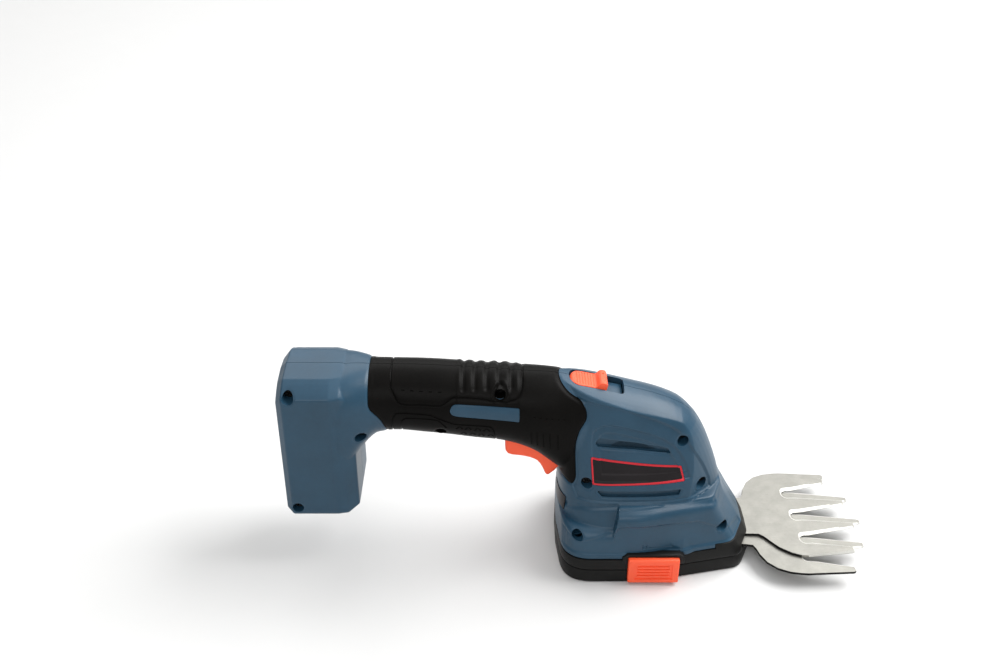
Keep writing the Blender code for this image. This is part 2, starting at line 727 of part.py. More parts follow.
def make_housing():
    outer = whole_body()
    core = join(handle_body(CORE_INSET), head_body(CORE_INSET))
    skin_room = side_plate(grown(metres(GRIP_OUTLINE), GAP), -60 * MM, 60 * MM)
    window = side_plate(grown(metres(WINDOW_OUTLINE), -GAP), -60 * MM, 60 * MM)
    cut(skin_room, core, window)
    shell = cut(copy_of(outer), skin_room)
    cut(shell, trigger_opening(), pin_hole(), lock_slot(), nose_room(), shaft_room(), nameplate_recess())
    cut(shell, *latch_rooms())
    cut(shell, cylinder((BOX_REAR - MM, 0, SOCKET_Z), (1, 0, 0), SOCKET_HOLE_RADIUS, 6 * MM, 16))
    cut(shell, *[screw_hole(name) for name in SCREWS])

    deep = CORE_INSET + HANDLE_WALL
    floor_z = CASSETTE_HEIGHT + GAP + FLOOR
    thick_zone = side_plate(grown(metres(GRIP_OUTLINE), HANDLE_WALL), -60 * MM, 60 * MM)
    thin = cut(join(head_body(HEAD_WALL, floor_z), skirt(HEAD_WALL, floor_z)), thick_zone)
    cavity = join(box_body(BOX_WALL), handle_body(deep), head_body(deep, floor_z), thin)
    # ribs and bosses are what the cavity leaves standing
    ribs = motor_ribs() + switch_ribs() + lock_rails() + pin_bosses()
    for name in SCREWS:
        x, z, half = boss_outline(name)
        ribs.append(cylinder((x, -half - 4 * MM, z), (0, 1, 0), BOSS_RADIUS, 2 * half + 8 * MM, 10))
    cut(shell, cut(cavity, *ribs))
    return shell, outer


def screw_hole(name):
    # a round recess for the head, then a bore through the right half into the left
    x, z, half = boss_outline(name)
    seat = half - SCREW_DEPTH
    recess = cylinder((x, -half - 20 * MM, z), (0, 1, 0), SCREW_HEAD_RADIUS + GAP, 20 * MM + half - seat, 12)
    bore = cylinder((x, -half, z), (0, 1, 0), SCREW_RADIUS + GAP, half + 0.55 * seat + GAP, 8)
    return join(recess, bore)


def make_screw(name):
    x, z, half = boss_outline(name)
    seat = half - SCREW_DEPTH
    head = 2 * MM
    body = screw((x, -seat - head - GAP, z), (0, 1, 0), SCREW_HEAD_RADIUS, seat + head + 0.5 * seat)
    return finish(name, body, "dark_steel", (x, -seat, z))


def motor_ribs():
    ribs = []
    for z in (58 * MM, 73 * MM):
        slab = box((MOTOR_X - 6 * MM, -40 * MM, z), (MOTOR_X + 6 * MM, 40 * MM, z + 1.8 * MM))
        cut(slab, cylinder((MOTOR_X, 0, z - MM), (0, 0, 1), MOTOR_RADIUS + GAP, 4 * MM, 32))
        ribs.append(slab)
    return ribs


def switch_ribs():
    low, high = SWITCH_Z
    rear = PLUNGER_X - SWITCH_LENGTH / 2
    front = PLUNGER_X + SWITCH_LENGTH / 2
    ribs = [box((rear - 7 * MM, -30 * MM, SPRING_SEAT_Z), (rear - 1.2 * MM, 30 * MM, SPRING_SEAT_Z + 2 * MM)),
            box((rear + 3 * MM, -30 * MM, high + GAP), (front - 3 * MM, 30 * MM, high + GAP + 2 * MM))]
    for side in (-1, 1):
        a, b = sorted((side * (SWITCH_HALF + GAP), side * 30 * MM))
        ribs.append(box((rear + 2 * MM, a, low + 3 * MM), (front - 2 * MM, b, low + 5 * MM)))
    return ribs


def lock_rails():
    floor = -LOCK_PLATE_DEPTH - LOCK_PLATE - GAP
    rails = []
    for side in (-1, 1):
        a, b = sorted((side * 6 * MM, side * 30 * MM))
        rails.append(lock_box((-13 * MM, a, floor - 2 * MM), (24 * MM, b, floor + MM / 5)))
    rails.append(lock_box((LOCK_STOP, -30 * MM, floor - 4 * MM), (LOCK_STOP + 2 * MM, 30 * MM, 0)))
    return rails


def pin_bosses():
    x, z = TRIGGER_PIVOT
    bosses = []
    for side in (-1, 1):
        start = side * (TRIGGER_HALF + GAP * 2)
        bosses.append(cylinder((x, start, z), (0, side, 0), 3.6 * MM, 22 * MM, 10))
    return bosses


def pin_hole():
    x, z = TRIGGER_PIVOT
    reach = PIN_HALF + GAP
    return cylinder((x, -reach, z), (0, 1, 0), PIN_RADIUS + GAP, 2 * reach, 12)


def lock_slot():
    # the slot in the top, and the room under it for the slider's plate
    front = LOCK_FRONT + LOCK_TRAVEL + 0.4 * MM
    rear = LOCK_REAR - 0.4 * MM
    half = LOCK_HALF + GAP
    slot = lock_box((rear, -half, -12 * MM), (front, half, 18 * MM))
    top = -LOCK_PLATE_DEPTH + GAP
    room = lock_box((-13.6 * MM, -10.6 * MM, top - 2.2 * MM), (23.4 * MM, 10.6 * MM, top))
    leg_room = lock_box((-14 * MM, -3 * MM, -30 * MM), (23 * MM, 3 * MM, top))
    return join(slot, room, leg_room)


def latch_ring(inset, low, high, x_low, x_high):
    # a band that follows the foot's outline, cut off at each end
    band = foot_prism(low, high, inset)
    return keep(band, box((x_low, -80 * MM, low - MM), (x_high, 0, high + MM)))


def foot_half_at(x):
    return along([point[:2] for point in foot_ring(0) if point[1] > 0], x, 0, 1)


def latch_rooms():
    # deep enough for the latch to be pressed in by its travel
    rooms = []
    low, high = LATCH_Z[0] - GAP * 2, LATCH_Z[1] + GAP
    block = foot_half_at(LATCH_X[1]) - (LATCH_DEPTH - LATCH_PROUD)
    deep = min(block, FOOT_HALF - LATCH_PAD_DEPTH) - LATCH_TRAVEL - LATCH_ROOM
    for side in (-1, 1):
        a, b = sorted((side * 80 * MM, side * deep))
        rooms.append(box((LATCH_X[0] - GAP, a, low), (LATCH_X[1] + GAP, b, high)))
    return rooms


def nose_room():
    return box((NOSE_START - GAP, -60 * MM, CASSETTE_HEIGHT - MM), (60 * MM, 60 * MM, NOSE_HEIGHT + GAP))


def shaft_room():
    return cylinder((CRANK_X, 0, CASSETTE_HEIGHT - MM), (0, 0, 1), 3.4 * MM, 5 * MM, 20)


def nameplate_recess():
    tool = side_plate(grown(metres(NAMEPLATE_OUTLINE), GAP), -60 * MM, -5 * MM)
    return cut(tool, head_body(NAMEPLATE_DEPTH + NAMEPLATE_THICKNESS + GAP))


def make_nameplate():
    body = keep(side_plate(metres(NAMEPLATE_OUTLINE), -60 * MM, -5 * MM), head_body(NAMEPLATE_DEPTH))
    cut(body, head_body(NAMEPLATE_DEPTH + NAMEPLATE_THICKNESS))
    finish("nameplate", body, "label")


def make_rear_label():
    zone = box((-75 * MM, -21 * MM, 36.6 * MM), (-60 * MM, -3 * MM, 46 * MM))
    body = cut(keep(zone, head_body(-0.9 * MM)), head_body(-0.4 * MM))
    return finish("rear_label", body, "label")


def split(blank, name, colour):
    # right and left halves, parted on the middle plane
    for side, label in ((-1, "right"), (1, "left")):
        a, b = sorted((side * GAP / 2, side * 90 * MM))
        half = keep(copy_of(blank), box((-300 * MM, a, -50 * MM), (200 * MM, b, 200 * MM)))
        finish(f"{name}_{label}", half, colour)
    bpy.data.objects.remove(blank)


def make_grip(outer):
    skin = keep(outer, side_plate(metres(GRIP_OUTLINE), -60 * MM, 60 * MM))
    cut(skin, join(handle_body(GRIP_SKIN), head_body(GRIP_SKIN)))
    cut(skin, side_plate(metres(WINDOW_OUTLINE), -60 * MM, 60 * MM), trigger_opening(), lock_slot())
    holes = [cylinder((x * MM, -60 * MM, z * MM), (0, 1, 0), SCREW_HEAD_RADIUS + GAP, 60 * MM, 16)
             for name, (x, z, half) in SCREWS.items() if name.startswith("grip")]
    cut(skin, *holes)
    split(skin, "grip", "black")


def make_battery():
    for number, side in ((1, -1), (2, 1)):
        y = side * CELL_PITCH / 2
        bottom = HOLDER_FLOOR_Z + 2 * MM + GAP
        cell = cylinder((CELL_X, y, bottom), (0, 0, 1), CELL_RADIUS, CELL_LENGTH, 24)
        join(cell, cylinder((CELL_X, y, bottom + CELL_LENGTH - MM), (0, 0, 1), 3 * MM, 2 * MM, 12))
        finish(f"battery_cell_{number}", cell, "cell_wrap", (CELL_X, y, bottom))
    reach = HOLDER_REACH
    holder = box((CELL_X - reach, -CELL_PITCH / 2 - reach, HOLDER_FLOOR_Z),
                 (CELL_X + reach, CELL_PITCH / 2 + reach, HOLDER_TOP_Z))
    for side in (-1, 1):
        cut(holder, cylinder((CELL_X, side * CELL_PITCH / 2, HOLDER_FLOOR_Z + 2 * MM), (0, 0, 1),
                             CELL_RADIUS + GAP, 80 * MM, 24))
    board_z = BOX_BOTTOM + BOX_WALL + GAP
    legs = [box((CELL_X + a, b, board_z + BOARD_THICKNESS + GAP),
                (CELL_X + a + 3 * MM, b + 3 * MM, HOLDER_FLOOR_Z + MM))
            for a in (-3 * MM, 8 * MM) for b in (-17 * MM, 14 * MM)]
    join(holder, *legs)
    finish("cell_holder", holder, "black", (CELL_X, 0, HOLDER_FLOOR_Z))
    board = box((BOX_REAR + 11.5 * MM, -18 * MM, board_z),
                (BOX_FRONT - 8.5 * MM, 18 * MM, board_z + BOARD_THICKNESS))
    finish("charge_board", board, "green", (CELL_X, 0, board_z))
    front = BOX_REAR + BOX_WALL + GAP
    socket = box((front, -4 * MM, SOCKET_Z - 4 * MM), (front + SOCKET_LENGTH, 4 * MM, SOCKET_Z + 4 * MM))
    cut(socket, cylinder((front - MM, 0, SOCKET_Z), (1, 0, 0), SOCKET_HOLE_RADIUS - GAP, 5 * MM, 16))
    finish("charge_socket", socket, "black", (front, 0, SOCKET_Z))


def make_switch():
    x, z = TRIGGER_PIVOT
    pin = cylinder((x, -PIN_HALF, z), (0, 1, 0), PIN_RADIUS, 2 * PIN_HALF, 16)
    finish("trigger_pivot_pin", pin, "steel", (x, 0, z))
    low, high = SWITCH_Z
    reach = SWITCH_LENGTH / 2
    body = box((PLUNGER_X - reach, -SWITCH_HALF, low), (PLUNGER_X + reach, SWITCH_HALF, high))
    cut(body, cylinder((PLUNGER_X, 0, low - MM), (0, 0, 1), PLUNGER_RADIUS + GAP, 7.4 * MM, 16))
    finish("switch_body", body, "black", (PLUNGER_X, 0, low))
    bottom = TRIGGER_TOP + GAP
    plunger = cylinder((PLUNGER_X, 0, bottom), (0, 0, 1), PLUNGER_RADIUS, PLUNGER_LENGTH, 16)
    finish("switch_plunger", plunger, "red", (PLUNGER_X, 0, bottom))
    coil = spring((TRIGGER_SPRING_X, 0, TRIGGER_TOP + GAP), (0, 0, 1), 1.9 * MM,
                  SPRING_SEAT_Z - TRIGGER_TOP - 2 * GAP, 4)
    finish("trigger_spring", coil, "steel", (TRIGGER_SPRING_X, 0, SPRING_SEAT_Z))


def make_lock():
    deck = 1.5 * MM
    outline = [(LOCK_REAR + 1.5 * MM, -LOCK_PLATE_DEPTH), (LOCK_REAR, -1 * MM), (LOCK_REAR + 1.6 * MM, deck),
               (3.4 * MM, deck), (4.6 * MM, 4.6 * MM), (6.4 * MM, 5.6 * MM), (9 * MM, 5.4 * MM),
               (LOCK_FRONT, 3.6 * MM), (LOCK_FRONT, -LOCK_PLATE_DEPTH)]
    button = moved(side_plate(outline, -LOCK_HALF, LOCK_HALF), lock_frame())
    bottom = -LOCK_PLATE_DEPTH - LOCK_PLATE
    deck_plate = lock_box((-13 * MM, -10 * MM, bottom), (13 * MM, 10 * MM, -LOCK_PLATE_DEPTH))
    lug = lock_box((10.5 * MM, -2.6 * MM, bottom - 3.4 * MM), (13 * MM, 2.6 * MM, bottom + MM / 2))
    leg = lock_box((-13 * MM, -2.4 * MM, -25 * MM), (-10.6 * MM, 2.4 * MM, bottom + MM / 2))
    join(button, deck_plate, lug, leg)
    finish("lock_off_slider", button, "orange", (LOCK_X, 0, LOCK_Z))
    start = lock_frame() @ Vector((13 * MM + GAP, 0, bottom - 0.9 * MM))
    axis = lock_frame().to_3x3() @ Vector((1, 0, 0))
    coil = spring(start, axis, 1.9 * MM, LOCK_STOP - 13 * MM - 2 * GAP, 6)
    finish("lock_spring", coil, "steel", start)


def make_drive():
    can = cylinder((MOTOR_X, 0, MOTOR_BOTTOM), (0, 0, 1), MOTOR_RADIUS, MOTOR_TOP - MOTOR_BOTTOM, 32)
    inner = MOTOR_RADIUS - MOTOR_WALL
    cut(can, cylinder((MOTOR_X, 0, MOTOR_BOTTOM + MOTOR_WALL), (0, 0, 1), inner, 60 * MM, 32),
        cylinder((MOTOR_X, 0, MOTOR_BOTTOM - MM), (0, 0, 1), 2 * MM, 4 * MM, 16))
    finish("motor_can", can, "steel", (MOTOR_X, 0, MOTOR_BOTTOM))
    cap = cylinder((MOTOR_X, 0, MOTOR_TOP + GAP), (0, 0, 1), MOTOR_RADIUS - 0.4 * MM, 4 * MM, 32)
    cut(cap, cylinder((MOTOR_X, 0, MOTOR_TOP - MM), (0, 0, 1), 1.5 * MM, 4 * MM, 16))
    for side in (-1, 1):
        join(cap, box((MOTOR_X - 1.5 * MM, side * 8 * MM - 0.4 * MM, MOTOR_TOP + 3 * MM),
                      (MOTOR_X + 1.5 * MM, side * 8 * MM + 0.4 * MM, MOTOR_TOP + 8 * MM)))
    finish("motor_end_cap", cap, "white_plastic", (MOTOR_X, 0, MOTOR_TOP))
    pinion_z = CASE_SPLIT + 2 * MM
    windings = inner - 2 * MM
    rotor = cylinder((MOTOR_X, 0, MOTOR_BOTTOM + 5 * MM), (0, 0, 1), windings, 23 * MM, 24)
    reach = MOTOR_TOP - pinion_z + 2.4 * MM
    join(rotor, cylinder((MOTOR_X, 0, pinion_z - MM), (0, 0, 1), 1.15 * MM, reach, 12))
    finish("motor_rotor", rotor, "dark_steel", (MOTOR_X, 0, MOTOR_BOTTOM))

    # the teeth are set so that each pair is in mesh at rest
    pinion = gear(PINION_TEETH, FINE_MODULE, 7 * MM, pinion_z, 1.15 * MM + GAP, MOTOR_X)
    finish("motor_pinion", pinion, "brass", (MOTOR_X, 0, pinion_z))
    bore = 1.5 * MM + GAP
    wheel = gear(IDLER_TEETH, FINE_MODULE, 5 * MM, pinion_z + MM, bore, IDLER_X, math.pi / IDLER_TEETH)
    small = gear(IDLER_PINION_TEETH, COARSE_MODULE, 9.9 * MM, pinion_z - 8.5 * MM, bore, IDLER_X)
    finish("idler_gear", join(wheel, small), "white_plastic", (IDLER_X, 0, pinion_z))
    length = CASE_TOP - CASE_BOTTOM - 1.2 * MM
    axle = cylinder((IDLER_X, 0, CASE_BOTTOM + 0.6 * MM), (0, 0, 1), 1.5 * MM, length, 16)
    finish("idler_axle", axle, "steel", (IDLER_X, 0, CASE_BOTTOM))
    low, turn = pinion_z - 8.2 * MM, math.pi / CRANK_TEETH
    crank_gear = gear(CRANK_TEETH, COARSE_MODULE, 5 * MM, low, 2.5 * MM + GAP, CRANK_X, turn)
    finish("crank_gear", crank_gear, "white_plastic", (CRANK_X, 0, low))
    make_crank()
    make_case(pinion_z)


def crank_pin_place():
    # at rest the pin stands where the blade's fork has swung to
    side = -(PIVOT_X - CRANK_X) * math.sin(REST_SWING)
    angle = math.asin(max(-1, min(1, side / CRANK_THROW)))
    return CRANK_X + CRANK_THROW * math.cos(angle), side


def make_crank():
    disc_z = CASSETTE_HEIGHT - 1.7 * MM
    shaft = cylinder((CRANK_X, 0, disc_z + MM), (0, 0, 1), 2.5 * MM, CASE_TOP - 1.2 * MM - disc_z, 20)
    join(shaft, cylinder((CRANK_X, 0, disc_z), (0, 0, 1), CRANK_DISC_RADIUS, 1.6 * MM, 24))
    x, y = crank_pin_place()
    cut(shaft, cylinder((x, y, disc_z - MM), (0, 0, 1), CRANK_PIN_RADIUS - 0.5 * MM + GAP, 2.2 * MM, 16))
    finish("crank_shaft", shaft, "steel", (CRANK_X, 0, disc_z))
    bottom = UPPER_BLADE_Z + BLADE_THICKNESS + GAP
    pin = cylinder((x, y, bottom), (0, 0, 1), CRANK_PIN_RADIUS, disc_z - bottom - GAP, 16)
    join(pin, cylinder((x, y, disc_z - MM), (0, 0, 1), CRANK_PIN_RADIUS - 0.5 * MM, 1.9 * MM, 16))
    finish("crank_pin", pin, "steel", (CRANK_X, 0, bottom))


def stadium(radius):
    outline = []
    for x, start in ((CRANK_X, -90), (MOTOR_X, 90)):
        for step in range(13):
            a = math.radians(start + 15 * step)
            outline.append((x + radius * math.cos(a), radius * math.sin(a)))
    return outline


def make_case(pinion_z):
    inner = stadium(CASE_RADIUS - CASE_WALL)
    for name, low, high, plate_z in (
            ("gear_case_lower", CASE_BOTTOM, CASE_SPLIT, CASE_BOTTOM + CASE_WALL),
            ("gear_case_upper", CASE_SPLIT + GAP, CASE_TOP, CASE_SPLIT)):
        body = plate(stadium(CASE_RADIUS), high - low, Matrix.Translation((0, 0, low)))
        if name == "gear_case_lower":
            cut(body, plate(inner, 40 * MM, Matrix.Translation((0, 0, plate_z))))
            bush_low, axle_low, depth = low - MM, low + 0.4 * MM, 6 * MM
        else:
            deep = high - CASE_WALL - plate_z + MM
            cut(body, plate(inner, deep, Matrix.Translation((0, 0, plate_z - MM))),
                cylinder((MOTOR_X, 0, high - 4 * MM), (0, 0, 1), 2.4 * MM, 8 * MM, 16))
            bush_low, axle_low, depth = high - 5 * MM, high - 4 * MM, 3.6 * MM
        cut(body, cylinder((CRANK_X, 0, bush_low), (0, 0, 1), 4.4 * MM + GAP, 8 * MM, 20),
            cylinder((IDLER_X, 0, axle_low), (0, 0, 1), 1.5 * MM + GAP, depth, 16))
        finish(name, body, "black", (CRANK_X, 0, low))
    for name, low in (("lower_bush", CASE_BOTTOM + GAP), ("upper_bush", CASE_TOP - 4.2 * MM)):
        bush = cylinder((CRANK_X, 0, low), (0, 0, 1), 4.4 * MM, 3 * MM, 20)
        cut(bush, cylinder((CRANK_X, 0, low - MM), (0, 0, 1), 2.5 * MM + GAP, 6 * MM, 20))
        finish(name, bush, "brass", (CRANK_X, 0, low))


def make_cassette():
    rings = [foot_ring(0, SOLE_EDGE), foot_ring(SOLE_EDGE), foot_ring(BASE_HEIGHT)]
    base = loft(rings)
    cut(base, foot_prism(2 * MM, 40 * MM, CASSETTE_WALL))
    seat_top = LOWER_BLADE_Z - GAP
    seat = box((6 * MM, -22 * MM, MM), (60 * MM, 22 * MM, seat_top))
    posts = [cylinder((x, y, MM), (0, 0, 1), 4 * MM, BASE_HEIGHT - MM, 16) for x, y in cassette_screws()]
    middle = sum(LATCH_X) / 2
    stops = [box((middle - 4 * MM, side * latch_stop() - LATCH_STOP_HALF, MM),
                 (middle + 4 * MM, side * latch_stop() + LATCH_STOP_HALF, BASE_HEIGHT)) for side in (-1, 1)]
    join(seat, *posts, *stops)
    keep(seat, foot_prism(MM, BASE_HEIGHT, CASSETTE_WALL / 2))
    join(base, seat)
    cut(base, *latch_rooms(), blade_slit(), pivot_hole())
    for x, y in cassette_screws():
        cut(base, cylinder((x, y, -MM), (0, 0, 1), SCREW_HEAD_RADIUS + GAP, 4.4 * MM, 12),
            cylinder((x, y, MM), (0, 0, 1), SCREW_RADIUS + GAP, 20 * MM, 12))
    finish("cassette_base", base, "black")

    low = BASE_HEIGHT + GAP
    top = loft([foot_ring(z) for z in (low, 12 * MM, NOSE_HEIGHT)])
    cut(top, box((-90 * MM, -60 * MM, CASSETTE_HEIGHT), (NOSE_START, 60 * MM, 60 * MM)))
    ceiling = CASSETTE_CEILING
    over_blades = UPPER_BLADE_Z + BLADE_THICKNESS + GAP
    room = foot_prism(low - MM, ceiling, CASSETTE_WALL)
    cut(room, *[cylinder((x, y, 0), (0, 0, 1), 4 * MM, 40 * MM, 16) for x, y in cassette_screws()])
    cut(room, box((PIVOT_X + 4 * MM, -60 * MM, over_blades - MM / 5), (90 * MM, 60 * MM, 60 * MM)))
    disc_room = CRANK_DISC_RADIUS + 1.6 * MM
    join(room, blade_slit(), cylinder((CRANK_X, 0, low), (0, 0, 1), disc_room, 20 * MM, 24),
         cylinder((PIVOT_X, 0, low), (0, 0, 1), 5.2 * MM, ceiling + MM / 4 - low, 20))
    cut(top, room, *latch_rooms())
    for x, y in cassette_screws():
        cut(top, cylinder((x, y, low - MM), (0, 0, 1), SCREW_RADIUS + GAP, 6.6 * MM, 12))
    finish("cassette_top", top, "black")
    for number, (x, y) in enumerate(cassette_screws(), 1):
        piece = screw((x, y, 1.2 * MM), (0, 0, 1), SCREW_HEAD_RADIUS, 13 * MM)
        finish(f"cassette_screw_{number}", piece, "dark_steel", (x, y, 0))


def cassette_screws():
    return [(x * MM, side * y * MM) for x, y in ((-52, 22), (21, 27.4)) for side in (-1, 1)]


def blade_slit():
    # the mouth where both blades leave the nose
    return box((PIVOT_X - MM, -60 * MM, LOWER_BLADE_Z - GAP),
               (70 * MM, 60 * MM, UPPER_BLADE_Z + BLADE_THICKNESS + GAP))


def pivot_hole():
    hole = cylinder((PIVOT_X, 0, -MM), (0, 0, 1), 5 * MM + GAP, 4.4 * MM, 20)
    return join(hole, cylinder((PIVOT_X, 0, MM), (0, 0, 1), 2 * MM + GAP, 30 * MM, 16))


def make_blades():
    centres = [TOOTH_PITCH * (i - 2) for i in range(5)]
    lower = plate(comb(centres, metres(LOWER_SHOULDER), LOWER_TIP_RADIUS, TOOTH_ROOT_X), BLADE_THICKNESS,
                  Matrix.Translation((0, 0, LOWER_BLADE_Z)))
    cut(lower, cylinder((PIVOT_X, 0, 0), (0, 0, 1), 2 * MM + GAP, 30 * MM, 20))
    finish("lower_blade", lower, "steel", (PIVOT_X, 0, LOWER_BLADE_Z))

    place = Matrix.Translation((PIVOT_X, 0, 0))
    swing = place @ Matrix.Rotation(REST_SWING, 4, "Z") @ place.inverted()
    centres = [TOOTH_PITCH * (i - 1.5) for i in range(4)]
    upper = plate(comb(centres, metres(UPPER_SHOULDER), UPPER_TIP_RADIUS, TOOTH_ROOT_X), BLADE_THICKNESS,
                  Matrix.Translation((0, 0, UPPER_BLADE_Z)))
    cut(upper, cylinder((PIVOT_X, 0, 0), (0, 0, 1), 2 * MM + GAP, 30 * MM, 20))
    finish("upper_blade", moved(upper, swing), "steel", (PIVOT_X, 0, UPPER_BLADE_Z))

    half = CRANK_PIN_RADIUS + 2 * CRANK_THROW + GAP
    low = UPPER_BLADE_Z + BLADE_THICKNESS + GAP
    fork = box((CRANK_X - 7 * MM, -half - FORK_WALL, low),
               (PIVOT_X - 6 * MM, half + FORK_WALL, low + FORK_THICKNESS))
    root = CRANK_X + CRANK_THROW + CRANK_PIN_RADIUS + 1.5 * MM
    cut(fork, box((CRANK_X - 20 * MM, -half, 0), (root, half, 40 * MM)))
    finish("blade_fork", moved(fork, swing), "dark_steel", (PIVOT_X, 0, low))

    bolt = cylinder((PIVOT_X, 0, 0.8 * MM), (0, 0, 1), 4.6 * MM, 2.2 * MM, 20)
    bolt_top = low + 2.9 * MM
    join(bolt, cylinder((PIVOT_X, 0, 2 * MM), (0, 0, 1), 2 * MM, bolt_top - 2 * MM, 16))
    finish("blade_pivot_bolt", bolt, "steel", (PIVOT_X, 0, 0))
    washer = cylinder((PIVOT_X, 0, low), (0, 0, 1), 4.4 * MM, 0.5 * MM, 20)
    cut(washer, cylinder((PIVOT_X, 0, 0), (0, 0, 1), 2 * MM + GAP, 40 * MM, 16))
    finish("spring_washer", washer, "steel", (PIVOT_X, 0, low))
    nut = cylinder((PIVOT_X, 0, low + 0.5 * MM + GAP), (0, 0, 1), 4 * MM, 1.9 * MM, 6)
    cut(nut, cylinder((PIVOT_X, 0, 0), (0, 0, 1), 2 * MM + GAP, 40 * MM, 16))
    finish("blade_nut", nut, "dark_steel", (PIVOT_X, 0, low))


def latch_stop():
    # middle of the wall that the latch spring pushes against
    return FOOT_HALF - LATCH_PAD_DEPTH - LATCH_SPRING - LATCH_STOP_HALF


def make_latches():
    x0, x1 = LATCH_X
    z0, z1 = LATCH_Z
    for side, label in ((-1, "right"), (1, "left")):
        block = box((x0, -FOOT_HALF - LATCH_PROUD, z0), (x1, -20 * MM, z1))
        cut(block, foot_prism(z0 - MM, z1 + MM, LATCH_DEPTH - LATCH_PROUD))
        ears = latch_ring(CASSETTE_WALL + GAP, 3 * MM, 8.4 * MM, x0 - 2.4 * MM, x1 + 2.4 * MM)
        cut(ears, foot_prism(MM, 12 * MM, CASSETTE_WALL + GAP + 1.6 * MM))
        join(block, ears)
        middle = (x0 + x1) / 2
        pad = box((middle - 6 * MM, -FOOT_HALF + 2.5 * MM, 3.4 * MM),
                  (middle + 6 * MM, -FOOT_HALF + LATCH_PAD_DEPTH, 8.6 * MM))
        join(block, pad)
        if side > 0:
            block = moved(block, Matrix.Scale(-1, 4, Vector((0, 1, 0))))
        origin = (middle, side * FOOT_HALF, 6 * MM)
        finish(f"latch_{label}", block, "orange", origin)
        foot = latch_stop() + LATCH_STOP_HALF
        start = (middle, side * (foot + GAP), 6 * MM)
        coil = spring(start, (0, side, 0), 1.9 * MM, LATCH_SPRING - 2 * GAP, 3)
        finish(f"latch_spring_{label}", coil, "steel", (middle, side * foot, 6 * MM))


def smooth_route(points, steps=3):
    # a smooth curve through the chosen points
    knots = [Vector(p) * MM for p in points]
    ends = [2 * knots[0] - knots[1]] + knots + [2 * knots[-1] - knots[-2]]
    route = []
    for a, b, c, d in zip(ends, ends[1:], ends[2:], ends[3:]):
        for i in range(steps):
            t = i / steps
            route.append(0.5 * (2 * b + (c - a) * t + (2 * a - 5 * b + 4 * c - d) * t ** 2
                                + (3 * b - a - 3 * c + d) * t ** 3))
    route.append(knots[-1])
    return route


def make_leads():
    for name, (colour, points) in LEADS.items():
        finish(name, tube(smooth_route(points), LEAD_RADIUS, 1), colour, Vector(points[0]) * MM)


clear_scene()
workshop = new_collection("cutters")
parts = new_collection("cordless_shrub_shears")
materials = {name: make_material(name) for name in COLOURS}

housing, envelope = make_housing()
split(housing, "housing", "blue")
make_grip(envelope)
make_nameplate()
make_rear_label()
make_battery()
make_trigger()
make_switch()
make_lock()
make_drive()
make_cassette()
make_blades()
make_latches()
make_leads()
for screw_name in SCREWS:
    make_screw(screw_name)

for leftover in list(workshop.objects):
    bpy.data.objects.remove(leftover)
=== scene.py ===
import json
import math
import time

import bmesh
import bpy
import numpy as np
from mathutils import Matrix, Vector
from mathutils.bvhtree import BVHTree

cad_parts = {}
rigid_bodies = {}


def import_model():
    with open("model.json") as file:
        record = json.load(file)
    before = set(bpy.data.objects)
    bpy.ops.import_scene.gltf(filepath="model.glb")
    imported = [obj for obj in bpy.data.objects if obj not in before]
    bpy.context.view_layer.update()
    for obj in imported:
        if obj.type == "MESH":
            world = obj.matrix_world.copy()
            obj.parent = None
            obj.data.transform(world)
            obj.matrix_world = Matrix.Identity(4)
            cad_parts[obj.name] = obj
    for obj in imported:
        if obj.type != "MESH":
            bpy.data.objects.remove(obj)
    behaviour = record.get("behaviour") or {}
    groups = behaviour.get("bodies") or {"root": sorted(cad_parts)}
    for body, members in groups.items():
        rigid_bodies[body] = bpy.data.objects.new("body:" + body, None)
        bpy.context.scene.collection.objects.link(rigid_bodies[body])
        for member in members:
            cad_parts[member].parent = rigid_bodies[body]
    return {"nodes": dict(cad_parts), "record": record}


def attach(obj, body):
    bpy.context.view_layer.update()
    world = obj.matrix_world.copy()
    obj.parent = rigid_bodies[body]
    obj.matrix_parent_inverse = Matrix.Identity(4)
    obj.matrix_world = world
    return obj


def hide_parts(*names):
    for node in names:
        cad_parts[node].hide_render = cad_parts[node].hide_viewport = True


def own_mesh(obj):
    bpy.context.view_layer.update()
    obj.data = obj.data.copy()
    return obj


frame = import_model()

# Cordless shrub and grass shears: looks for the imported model.
# Pieces are modelled in millimetres and scaled to metres when they are handed over.
started = time.time()
bpy.ops.object.select_all(action="DESELECT")
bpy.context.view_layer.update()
voxel = 0.45


def report(stage):
    print(f"{stage}: {time.time() - started:.1f} s")


def activate(piece):
    bpy.ops.object.select_all(action="DESELECT")
    piece.select_set(True)
    bpy.context.view_layer.objects.active = piece


def applyModifier(piece, kind, **settings):
    activate(piece)
    step = piece.modifiers.new(kind.lower(), kind)
    for name, value in settings.items():
        setattr(step, name, value)
    bpy.ops.object.modifier_apply(modifier=step.name)
    return piece


def boolean(piece, tool, operation="DIFFERENCE", keepTool=False):
    for solver in ("MANIFOLD", "EXACT"):
        applyModifier(piece, "BOOLEAN", object=tool, operation=operation, solver=solver)
        if not piece.modifiers:
            break
        piece.modifiers.clear()
        print(f"{piece.name} {operation} {tool.name}: {solver} could not be used")
    if not keepTool:
        bpy.data.objects.remove(tool)
    return piece


def duplicate(piece, name):
    activate(piece)
    bpy.ops.object.duplicate()
    twin = bpy.context.active_object
    twin.name = name
    twin.data.name = name
    return twin


